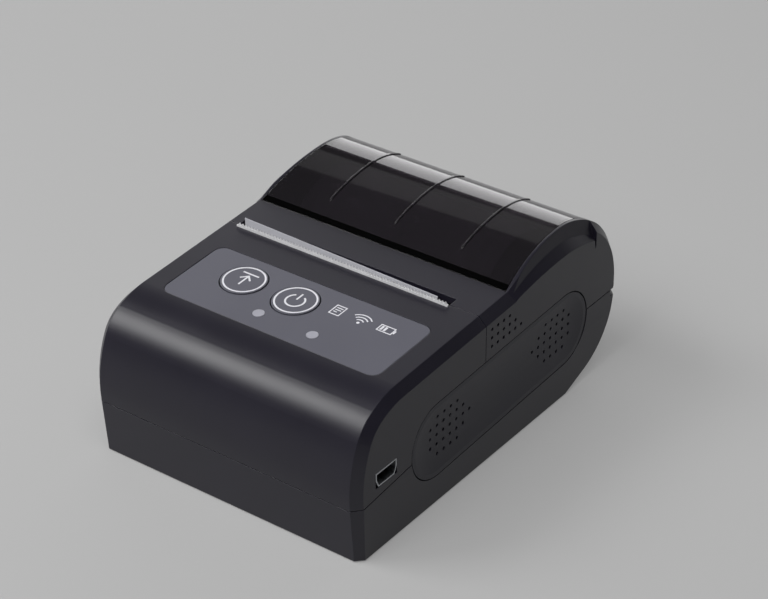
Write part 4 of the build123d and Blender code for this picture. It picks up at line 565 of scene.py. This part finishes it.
@dataclass(frozen=True)
class BackdropPaper(Finish):
    """Seamless studio paper: matt, pale and even.

    What the camera, reflections and the smoked window see of it is partly its plain colour, the share
    even, which keeps the rest of the shadows on it.
    """

    roughness: float = 0.9
    specular: float = 0.1
    even: float = 0.42
    cloud_mm: float = 60.0
    cloud_tints: Point = (1.0, 0.985)

    def build(self) -> bpy.types.Material:
        """Builds the backdrop.

        Returns:
            The material.
        """
        material, tree, place = self.start()
        cloud = add(tree, "TexNoise", {"Vector": place, "Scale": per_metre(self.cloud_mm), "Detail": 2.0})
        white, darker = self.tints(self.cloud_tints)
        colour = add(tree, "Mix", {0: cloud.outputs[0], MIX_A: white, MIX_B: darker}, data_type="RGBA")
        matt = add(tree, "BsdfPrincipled",
                   {"Base Color": colour.outputs[MIX_OUT], "Roughness": self.roughness,
                    "Specular IOR Level": self.specular})
        plain = add(tree, "Emission", {"Color": linear(self.colour), "Strength": 1.0})
        ray = add(tree, "LightPath")
        seen = add(tree, "Math", (ray.outputs["Is Camera Ray"], ray.outputs["Is Glossy Ray"]),
                   operation="MAXIMUM")
        seen = add(tree, "Math", (seen.outputs[0], ray.outputs["Is Transmission Ray"]), operation="MAXIMUM")
        share = add(tree, "Math", (seen.outputs[0], self.even), operation="MULTIPLY")
        mixed = add(tree, "MixShader", (share.outputs[0], matt.outputs[0], plain.outputs[0]))
        add(tree, "OutputMaterial", (mixed.outputs[0],))
        return material


class Look(Enum):
    """The printer's real materials, and the studio's backdrop."""

    # Moulded shells: satin and near black, with a coarser grain on the side panels that looks duller.
    CASE = MouldedAbs("black_abs", "1a1823")
    SIDE = MouldedAbs("charcoal_abs", "1d1c27", roughness=0.46, grain_mm=0.3, grain_depth_mm=0.005)
    # Inner pieces come from a plainer mould, so they shine less.
    INNER = MouldedAbs("inner_black_abs", "161618", roughness=0.5)
    # Other moulded plastics: acetal looks waxy and off-white, a chip's epoxy body dense and matt.
    ACETAL = MouldedAbs("moulded_acetal", "dcd9cf", roughness=0.42, grain_mm=0.4, edge_mm=0.1, rub=0.0)
    EPOXY = MouldedAbs("moulding_epoxy", "17171a", roughness=0.55, grain_mm=0.12, edge_mm=0.06)
    # Thin films: the heat-shrunk sleeve is glossy and rippled, the ribbon smooth and pale.
    SLEEVE = MouldedAbs("battery_shrink_sleeve", "2a2c33", roughness=0.3, grain_mm=1.5,
                        grain_depth_mm=0.02)
    RIBBON = MouldedAbs("polyimide_ribbon", "d8d3c4", roughness=0.35, grain_mm=1.0, edge_mm=0.04, rub=0.0)
    # The window, the printed label and the lamps' light pipes.
    WINDOW = SmokedPolycarbonate("smoked_polycarbonate", "5a555c")
    FILM = PolyesterFilm("slate_polyester_film", "54545e")
    INK = ScreenInk("pale_screen_ink", "dedee4")
    LENS = MilkyAcrylic("milky_acrylic", "a6a6b0")
    # The tear bar's near-white colour and low metallic are partly a painted highlight for the light its steel
    # catches; plating gives the steel broad, cloudy streaks.
    BLADE = BrushedMetal("tear_bar_steel_painted_highlight", "fafafc", roughness=0.42, metallic=0.12)
    STEEL = BrushedMetal("zinc_plated_steel", "b9bcc0", roughness=0.34, line_mm=(8.0, 1.0, 1.0))
    # The die draws fine lines along the aluminium, and the tool leaves the brass wide, bright bands.
    ALUMINIUM = BrushedMetal("extruded_aluminium", "c6c8cc", roughness=0.36)
    BRASS = BrushedMetal("turned_brass", "c9a24e", line_mm=(8.0, 2.0, 2.0))
    CERAMIC = GlazedCeramic("glazed_ceramic", "8d8472")
    # The feet are moulded and not ground, so they look duller than the roller.
    ROLLER = GroundRubber("ground_silicone_rubber", "18181a")
    FOOT = GroundRubber("foot_rubber", "141415", roughness=0.85)
    # Only the roll shows its layers; the core is uncoated card and shines less.
    PAPER = ThermalPaper("wound_thermal_paper", "e9e9ec", wound_at=(31.0, 22.3))
    # The strip is the roll's paper in a darker grey: painted shade, as the paper by the tear bar lies in its
    # shadow.
    STRIP = ThermalPaper("thermal_paper_strip_painted_shade", "c2c2c8")
    CARD = ThermalPaper("grey_board", "8f8577", roughness=0.8)
    BOARD = SolderMask("green_solder_mask", "17482c")
    BACKDROP = BackdropPaper("studio_paper", "b5b5b5")


# The CAD nodes of each look, in the order in which they are dressed.
Pieces = tuple[tuple[Look, tuple[str, ...]], ...]


@dataclass
class Workshop:
    """What every sub-assembly needs: the CAD nodes, the record and the finishes made so far."""

    nodes: dict[str, bpy.types.Object]
    record: dict[str, Any]
    finishes: dict[Look, bpy.types.Material] = field(default_factory=dict)

    def finish(self, look: Look) -> bpy.types.Material:
        """The material of a look, built when it is first asked for.

        Args:
            look: which material.

        Returns:
            The Blender material.
        """
        if look not in self.finishes:
            self.finishes[look] = look.value.build()
        return self.finishes[look]

    def paint(self, look: Look, names: Sequence[str]) -> None:
        """Dresses whole CAD nodes.

        Args:
            look: their material.
            names: the nodes.
        """
        material = self.finish(look)
        for name in names:
            node = self.nodes[name]
            if not node.material_slots:
                node.data.materials.append(material)
            for slot in node.material_slots:
                slot.link = "OBJECT"
                slot.material = material
            LOG.info("%s: %s", name, material.name)


@dataclass(frozen=True)
class Stroke:
    """One printed line: its middle path in millimetres, its width, and whether its ends join."""

    path: tuple[Point, ...]
    width: float
    closed: bool = False


def arc(x: float, y: float, radius: float, start_deg: float, end_deg: float, width: float) -> Stroke:
    """An arc, or a ring where it goes all the way round.

    Args:
        x: centre.
        y: centre.
        radius: radius of the line's middle.
        start_deg: where it starts, from the X axis.
        end_deg: where it ends.
        width: line width.

    Returns:
        The stroke.
    """
    turn = end_deg - start_deg
    closed = abs(turn) >= 360.0
    steps = max(ARC_STEPS_MIN, int(abs(turn) / ARC_STEP_DEG))
    angles = [math.radians(start_deg + turn * i / steps) for i in range(steps if closed else steps + 1)]
    return Stroke(tuple((x + radius * math.cos(a), y + radius * math.sin(a)) for a in angles), width, closed)


def box_outline(x: float, y: float, width: float, height: float, line: float) -> Stroke:
    """A rectangle's outline.

    Args:
        x: middle.
        y: middle.
        width: outer width.
        height: outer height.
        line: line width.

    Returns:
        The stroke.
    """
    half_w, half_h = (width - line) / 2, (height - line) / 2
    corners = ((-half_w, -half_h), (half_w, -half_h), (half_w, half_h), (-half_w, half_h))
    return Stroke(tuple((x + dx, y + dy) for dx, dy in corners), line, True)


@dataclass(frozen=True)
class Sign:
    """A small printed sign: sizes in millimetres, X to the right, Y to the rear."""

    def strokes(self, x: float = 0.0, y: float = 0.0) -> tuple[Stroke, ...]:
        """Its strokes about the point x, y; each kind of sign has its own."""
        raise NotImplementedError


@dataclass(frozen=True)
class KeyRing(Sign):
    """The ring round a key's sign."""

    radius: float = 5.05
    line: float = 0.44

    def strokes(self, x: float = 0.0, y: float = 0.0) -> tuple[Stroke, ...]:
        """One full circle."""
        return (arc(x, y, self.radius, 0.0, 360.0, self.line),)


@dataclass(frozen=True)
class FeedSign(Sign):
    """An arrow to the rear that points to a bar: the paper moves on to the tear bar."""

    line: float = 0.45
    shaft: float = 4.4
    tip_inset: float = 0.5
    barb: float = 1.5
    bar_half: float = 2.3
    bar_gap: float = 0.4

    def strokes(self, x: float = 0.0, y: float = 0.0) -> tuple[Stroke, ...]:
        """The shaft, the arrow's head and the bar.

        Args:
            x: the sign's middle.
            y: the sign's middle.

        Returns:
            The strokes.
        """
        tail, tip = y - self.shaft / 2, y + self.shaft / 2 - self.tip_inset
        bar = y + self.shaft / 2 + self.bar_gap
        head = ((x - self.barb, tip - self.barb), (x, tip), (x + self.barb, tip - self.barb))
        return (Stroke(((x, tail), (x, tip - self.line)), self.line),
                Stroke(head, self.line),
                Stroke(((x - self.bar_half, bar), (x + self.bar_half, bar)), self.line))


@dataclass(frozen=True)
class StandbySign(Sign):
    """The standby sign: an open circle with a stem in its gap."""

    line: float = 0.46
    radius: float = 2.35
    gap_deg: float = 32.0
    drop: float = 0.2
    stem_from: float = 0.3
    stem_past: float = 0.5

    def strokes(self, x: float = 0.0, y: float = 0.0) -> tuple[Stroke, ...]:
        """The open circle and the stem.

        Args:
            x: the sign's middle.
            y: the sign's middle.

        Returns:
            The strokes.
        """
        stem = ((x, y + self.stem_from), (x, y + self.radius + self.stem_past))
        return (arc(x, y - self.drop, self.radius, 90.0 + self.gap_deg, 450.0 - self.gap_deg, self.line),
                Stroke(stem, self.line))


@dataclass(frozen=True)
class BatterySign(Sign):
    """A battery on its side with two of its bars left: cap is where its cap starts and ends."""

    size: Point = (4.2, 2.6)
    line: float = 0.3
    cap: Point = (2.15, 2.55)
    cap_height: float = 1.2
    bars: Point = (-1.15, -0.2)
    bar_width: float = 0.6
    bar_half: float = 0.8

    def strokes(self, x: float = 0.0, y: float = 0.0) -> tuple[Stroke, ...]:
        """The outline, the cap and the bars.

        Args:
            x: the sign's middle.
            y: the sign's middle.

        Returns:
            The strokes.
        """
        bars = [Stroke(((x + dx, y - self.bar_half), (x + dx, y + self.bar_half)), self.bar_width)
                for dx in self.bars]
        return (box_outline(x, y, *self.size, self.line),
                Stroke(((x + self.cap[0], y), (x + self.cap[1], y)), self.cap_height), *bars)


@dataclass(frozen=True)
class ReceiptSign(Sign):
    """A sheet with three rules: each row is its height and where it ends, from the sheet's middle."""

    size: Point = (3.0, 3.8)
    line: float = 0.3
    row_start: float = -0.85
    rows: tuple[Point, ...] = ((0.9, 0.85), (0.1, 0.85), (-0.7, 0.2))

    def strokes(self, x: float = 0.0, y: float = 0.0) -> tuple[Stroke, ...]:
        """The sheet's outline and its rules.

        Args:
            x: the sign's middle.
            y: the sign's middle.

        Returns:
            The strokes.
        """
        rules = [Stroke(((x + self.row_start, y + height), (x + end, y + height)), self.line)
                 for height, end in self.rows]
        return (box_outline(x, y, *self.size, self.line), *rules)


@dataclass(frozen=True)
class RadioSign(Sign):
    """Three waves that spread from a dot."""

    radii: Triple = (1.3, 2.3, 3.3)
    spread_deg: Point = (42.0, 138.0)
    line: float = 0.34
    drop: float = 1.5
    dot_drop: float = 1.4
    dot_radius: float = 0.2
    dot_line: float = 0.36

    def strokes(self, x: float = 0.0, y: float = 0.0) -> tuple[Stroke, ...]:
        """The waves and the dot.

        Args:
            x: the sign's middle.
            y: the sign's middle.

        Returns:
            The strokes.
        """
        waves = [arc(x, y - self.drop, radius, *self.spread_deg, self.line) for radius in self.radii]
        return (*waves, arc(x, y - self.dot_drop, self.dot_radius, 0.0, 360.0, self.dot_line))


@dataclass(frozen=True)
class PrintedMark:
    """A mark screen-printed on a CAD node's top, as a thin layer of ink.

    The strokes are given from the middle of the node's box, X to the right and Y to the rear. The ink
    stands thickness above the top and goes sunk below it, both in millimetres.
    """

    name: str
    node: str
    body: str
    strokes: tuple[Stroke, ...]
    thickness: float = 0.03
    sunk: float = 0.01

    def surface(self, shop: Workshop, x: float, y: float) -> tuple[Vector, Vector]:
        """Finds the node's top by looking down on it from a metre above.

        Args:
            shop: the CAD nodes.
            x: where, in metres.
            y: where, in metres.

        Returns:
            The point on the top and its normal.
        """
        mesh = shop.nodes[self.node].data
        tree = BVHTree.FromPolygons([v.co for v in mesh.vertices], [p.vertices for p in mesh.polygons])
        point, normal, _, _ = tree.ray_cast(Vector((x, y, 1.0)), Vector((0.0, 0.0, -1.0)))
        return point, normal if normal.z > 0 else -normal

    def build(self, shop: Workshop) -> None:
        """Makes the layer of ink and lays it on the node.

        Args:
            shop: the CAD nodes and the finishes.
        """
        low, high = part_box(self.node)
        middle = (Vector(low) + Vector(high)) / 2
        start_x, start_y = self.strokes[0].path[0]
        point, up = self.surface(shop, middle.x + start_x * MM, middle.y + start_y * MM)
        # The top is flat and slopes to the front only, so the point slides along it to the middle.
        rearward = (Vector((0.0, 1.0, 0.0)) - up * up.y).normalized()
        point = point + rearward * ((middle.y - point.y) / rearward.y)
        point.x = middle.x
        turn = Matrix((Vector((1.0, 0.0, 0.0)), rearward, up)).transposed()
        solid = bmesh.new()
        for stroke in self.strokes:
            self.lay(solid, stroke, turn, point)
        bmesh.ops.recalc_face_normals(solid, faces=solid.faces)
        mesh = bpy.data.meshes.new(self.name)
        solid.to_mesh(mesh)
        solid.free()
        mesh.materials.append(shop.finish(Look.INK))
        piece = bpy.data.objects.new(self.name, mesh)
        bpy.context.scene.collection.objects.link(piece)
        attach(piece, self.body)
        LOG.info("%s: %d strokes on %s", self.name, len(self.strokes), self.node)

    def lay(self, solid: bmesh.types.BMesh, stroke: Stroke, turn: Matrix, origin: Vector) -> None:
        """Adds one stroke as a closed ribbon, with mitred corners.

        Args:
            solid: the mesh that it joins.
            stroke: the stroke.
            turn: turns the print's axes to the node's top.
            origin: middle of the print.
        """
        path = [Vector(point) for point in stroke.path]
        last = len(path) - 1
        section = ((1, -self.sunk), (-1, -self.sunk), (-1, self.thickness), (1, self.thickness))
        rims = []
        for i, point in enumerate(path):
            onward = (path[(i + 1) % len(path)] - point) if stroke.closed or i < last else point - path[i - 1]
            inward = (point - path[i - 1]) if stroke.closed or i > 0 else onward
            sides = [Vector((-way.y, way.x)).normalized() for way in (inward, onward)]
            across = (sides[0] + sides[1]).normalized()
            across *= stroke.width / 2 / across.dot(sides[0])
            rims.append([solid.verts.new(origin + turn @ (Vector((*(point + across * side), height)) * MM))
                         for side, height in section])
        pairs = list(zip(rims, rims[1:])) + ([(rims[-1], rims[0])] if stroke.closed else [])
        for near, far in pairs:
            for i in range(4):
                solid.faces.new((near[i], near[(i + 1) % 4], far[(i + 1) % 4], far[i]))
        if not stroke.closed:
            solid.faces.new(rims[0])
            solid.faces.new(rims[-1])


@dataclass(frozen=True)
class SubAssembly:
    """Pieces of the printer that are fitted together: the CAD nodes of each look."""

    pieces: Pieces = ()

    def marks(self) -> tuple[PrintedMark, ...]:
        """What is printed on the pieces: nothing, unless the sub-assembly says so."""
        return ()

    def dress(self, shop: Workshop) -> None:
        """Dresses the pieces and prints their marks.

        Args:
            shop: the CAD nodes and the finishes.
        """
        LOG.info("%s", type(self).__name__)
        for look, names in self.pieces:
            shop.paint(look, names)
        for mark in self.marks():
            mark.build(shop)


@dataclass(frozen=True)
class Casing(SubAssembly):
    """The outer shells, their side panels and what stands or fastens them."""

    pieces: Pieces = (
        (Look.CASE, ("lower_shell", "front_housing", "battery_door")),
        (Look.SIDE, ("side_panel_left", "side_panel_right")),
        (Look.FOOT, ("rubber_feet",)),
        (Look.STEEL, ("case_screws",)),
    )


@dataclass(frozen=True)
class KeyPanel(SubAssembly):
    """The slate label let into the top, its two keys and lamps, and the key board below them.

    The keys carry a ring with a feed arrow or a standby sign. The label carries three signs, whose
    places are given in millimetres from its middle.
    """

    pieces: Pieces = (
        (Look.FILM, ("label_panel", "feed_button", "power_button")),
        (Look.LENS, ("status_lamp_window", "power_lamp_window")),
        (Look.EPOXY, ("feed_switch", "power_switch", "feed_switch_plunger", "power_switch_plunger")),
        (Look.ACETAL, ("lamp_chips",)),
        (Look.BOARD, ("key_board",)),
        (Look.STEEL, ("key_board_screws",)),
        (Look.RIBBON, ("key_cable",)),
    )
    ring: KeyRing = KeyRing()
    feed: FeedSign = FeedSign()
    standby: StandbySign = StandbySign()
    battery: BatterySign = BatterySign()
    receipt: ReceiptSign = ReceiptSign()
    radio: RadioSign = RadioSign()
    battery_at: Point = (22.4, 5.0)
    receipt_at: Point = (8.6, 5.0)
    radio_at: Point = (15.4, 5.0)

    def marks(self) -> tuple[PrintedMark, ...]:
        """The print of both keys and of the label.

        Returns:
            The marks.
        """
        ring = self.ring.strokes()
        signs = (self.battery.strokes(*self.battery_at) + self.receipt.strokes(*self.receipt_at)
                 + self.radio.strokes(*self.radio_at))
        return (PrintedMark("feed_key_ink", "feed_button", "feed_key", ring + self.feed.strokes()),
                PrintedMark("power_key_ink", "power_button", "power_key", ring + self.standby.strokes()),
                PrintedMark("label_ink", "label_panel", "case", signs))


@dataclass(frozen=True)
class Cover(SubAssembly):
    """The hinged rear cover with its smoked window and the roller's bracket."""

    pieces: Pieces = (
        (Look.CASE, ("rear_cover",)),
        (Look.WINDOW, ("cover_window",)),
        (Look.INNER, ("platen_bracket",)),
        (Look.ACETAL, ("platen_bushes",)),
        (Look.STEEL, ("hinge_pin",)),
    )


@dataclass(frozen=True)
class PaperPath(SubAssembly):
    """The roll in its tray, the paper up to the slot, the tear bar and the roller that pulls it."""

    pieces: Pieces = (
        (Look.PAPER, ("paper_roll",)),
        (Look.STRIP, ("paper_web",)),
        (Look.CARD, ("roll_core",)),
        (Look.INNER, ("paper_tray",)),
        (Look.BLADE, ("tear_bar",)),
        (Look.ROLLER, ("platen_rubber",)),
        (Look.EPOXY, ("paper_sensor",)),
    )


@dataclass(frozen=True)
class Mechanism(SubAssembly):
    """The steel frame, the head that prints and the gears that turn the roller."""

    pieces: Pieces = (
        (Look.STEEL, ("mechanism_frame", "platen_shaft", "idler_axle", "paper_motor", "motor_shaft",
                      "head_spring")),
        (Look.ALUMINIUM, ("heat_sink",)),
        (Look.CERAMIC, ("print_head",)),
        (Look.ACETAL, ("platen_gear", "idler_gear", "head_connector", "motor_connector")),
        (Look.BRASS, ("motor_pinion",)),
        (Look.RIBBON, ("head_cable", "motor_cable")),
    )


@dataclass(frozen=True)
class Electronics(SubAssembly):
    """The main and wireless boards, the inlet and the battery."""

    pieces: Pieces = (
        (Look.BOARD, ("main_board", "wireless_board")),
        (Look.EPOXY, ("processor", "motor_driver", "power_coil", "buzzer", "mini_usb_tongue")),
        (Look.STEEL, ("board_screws", "wireless_shield", "mini_usb_socket")),
        (Look.SLEEVE, ("battery_pack",)),
        (Look.BRASS, ("battery_contacts",)),
    )


def direction(azimuth: float, elevation: float) -> Vector:
    """Which way something stands from the printer.

    Args:
        azimuth: degrees round from the front, which is -Y, towards +X.
        elevation: degrees up.

    Returns:
        The unit vector from the printer.
    """
    turn, lift = math.radians(azimuth), math.radians(elevation)
    return Vector((math.sin(turn) * math.cos(lift), -math.cos(turn) * math.cos(lift), math.sin(lift)))


@dataclass(frozen=True)
class StudioCamera:
    """Camera at the photograph's viewing angle: angles in degrees, lengths in millimetres.

    It stands at this distance from the target, shifted to its own right and up. Its focal length is
    given in pixels of a picture that is width_px wide.
    """

    azimuth: float = 36.93
    elevation: float = 32.06
    roll: float = -0.48
    distance: float = 585.74
    right: float = 3.54
    up: float = 6.90
    target: Triple = (0.0, 2.67, 20.0)
    focal_px: float = 2414.98
    width_px: int = 768
    sensor_mm: float = 36.0
    clip_mm: Point = (20.0, 20000.0)

    def build(self) -> None:
        """Makes the camera and gives it to the scene."""
        back = direction(self.azimuth, self.elevation)
        roll = math.radians(self.roll)
        level = (-back).cross(Vector((0, 0, 1))).normalized()
        upright = level.cross(-back)
        right = math.cos(roll) * level + math.sin(roll) * upright
        up = math.cos(roll) * upright - math.sin(roll) * level
        data = bpy.data.cameras.new("camera")
        data.sensor_width = self.sensor_mm
        data.lens = self.focal_px * self.sensor_mm / self.width_px
        data.clip_start, data.clip_end = (length * MM for length in self.clip_mm)
        camera = bpy.data.objects.new("camera", data)
        at = Vector(self.target) + back * self.distance + right * self.right + up * self.up
        camera.matrix_world = Matrix.Translation(at * MM) @ Matrix((right, up, back)).transposed().to_4x4()
        bpy.context.scene.collection.objects.link(camera)
        bpy.context.scene.camera = camera
        LOG.info("camera: %.1f degrees round, %.1f up", self.azimuth, self.elevation)


@dataclass(frozen=True)
class SoftBox:
    """A soft box that points at the printer: where it stands, its size and its power.

    Its azimuth counts from behind the camera, 90 on the viewer's right. Lengths are in metres.
    """

    name: str
    azimuth: float
    elevation: float
    size: Point
    watts: float
    distance: float = 1.3
    aim: Triple = (0.0, 0.0, 0.02)

    def build(self, camera: StudioCamera) -> None:
        """Makes the lamp.

        Args:
            camera: what the azimuth counts from.
        """
        away = direction(camera.azimuth + self.azimuth, self.elevation)
        data = bpy.data.lights.new(self.name, "AREA")
        data.shape = "RECTANGLE"
        data.size, data.size_y = self.size
        data.energy = self.watts
        lamp = bpy.data.objects.new(self.name, data)
        lamp.location = Vector(self.aim) + away * self.distance
        lamp.rotation_mode = "QUATERNION"
        lamp.rotation_quaternion = (-away).to_track_quat("-Z", "Y")
        bpy.context.scene.collection.objects.link(lamp)
        LOG.info("%s: %.1f W", self.name, self.watts)


@dataclass(frozen=True)
class Studio:
    """Backdrop floor, dim room light with a pale horizon, and soft boxes.

    The room's light falls from horizon to room over the lowest part of the sky, up to the elevation
    whose sine is horizon_sine. Lengths are in metres.
    """

    camera: StudioCamera
    room: float = 0.03
    horizon: float = 0.2
    horizon_sine: float = 0.12
    floor_half: float = 4.0
    floor_segments: int = 8
    boxes: tuple[SoftBox, ...] = (
        SoftBox("back_box", 180.0, 14.0, (1.6, 0.62), 6.2),
        SoftBox("high_box", 180.0, 40.0, (1.6, 0.30), 0.3),
        SoftBox("left_box", 270.0, 45.0, (0.6, 0.6), 9.5),
        SoftBox("front_left_box", 315.0, 45.0, (0.6, 0.6), 5.2),
        SoftBox("top_box", 0.0, 70.0, (0.8, 0.6), 6.0),
        SoftBox("right_box", 130.0, 25.0, (0.5, 0.5), 1.2),
    )

    def light_room(self) -> None:
        """Makes the dim light from all round."""
        world = bpy.data.worlds.new("studio")
        bpy.context.scene.world = world
        world.use_nodes = True
        tree = world.node_tree
        tree.nodes.clear()
        way = add(tree, "SeparateXYZ", (add(tree, "TexCoord").outputs["Generated"],))
        glow = add(tree, "MapRange", (way.outputs[2], 0.0, self.horizon_sine, self.horizon, self.room))
        light = add(tree, "Background", {"Color": linear("ffffff"), "Strength": glow.outputs[0]})
        add(tree, "OutputWorld", (light.outputs[0],))
        LOG.info("room: %.2f overhead, %.2f at the horizon", self.room, self.horizon)

    def lay_floor(self, shop: Workshop) -> None:
        """Lays the backdrop under the printer.

        Args:
            shop: the finishes.
        """
        mesh = bpy.data.meshes.new("floor")
        grid = bmesh.new()
        bmesh.ops.create_grid(grid, x_segments=self.floor_segments, y_segments=self.floor_segments,
                              size=self.floor_half)
        grid.to_mesh(mesh)
        grid.free()
        mesh.materials.append(shop.finish(Look.BACKDROP))
        floor = bpy.data.objects.new("floor", mesh)
        bpy.context.scene.collection.objects.link(floor)
        LOG.info("floor: %.0f m wide", 2 * self.floor_half)

    def build(self, shop: Workshop) -> None:
        """Makes the room light, the floor and the soft boxes.

        Args:
            shop: the finishes.
        """
        self.light_room()
        self.lay_floor(shop)
        for box in self.boxes:
            box.build(self.camera)


def main() -> None:
    """Dresses the printer of the frame, then builds its studio."""
    logging.basicConfig(level=logging.INFO, format="%(name)s %(message)s")
    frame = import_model()
    shop = Workshop(frame["nodes"], frame["record"])
    camera = StudioCamera()
    camera.build()
    for assembly in (Casing(), KeyPanel(), Cover(), PaperPath(), Mechanism(), Electronics()):
        assembly.dress(shop)
    Studio(camera).build(shop)
    bpy.context.scene.view_settings.view_transform = "Standard"


if __name__ == "__main__":
    main()
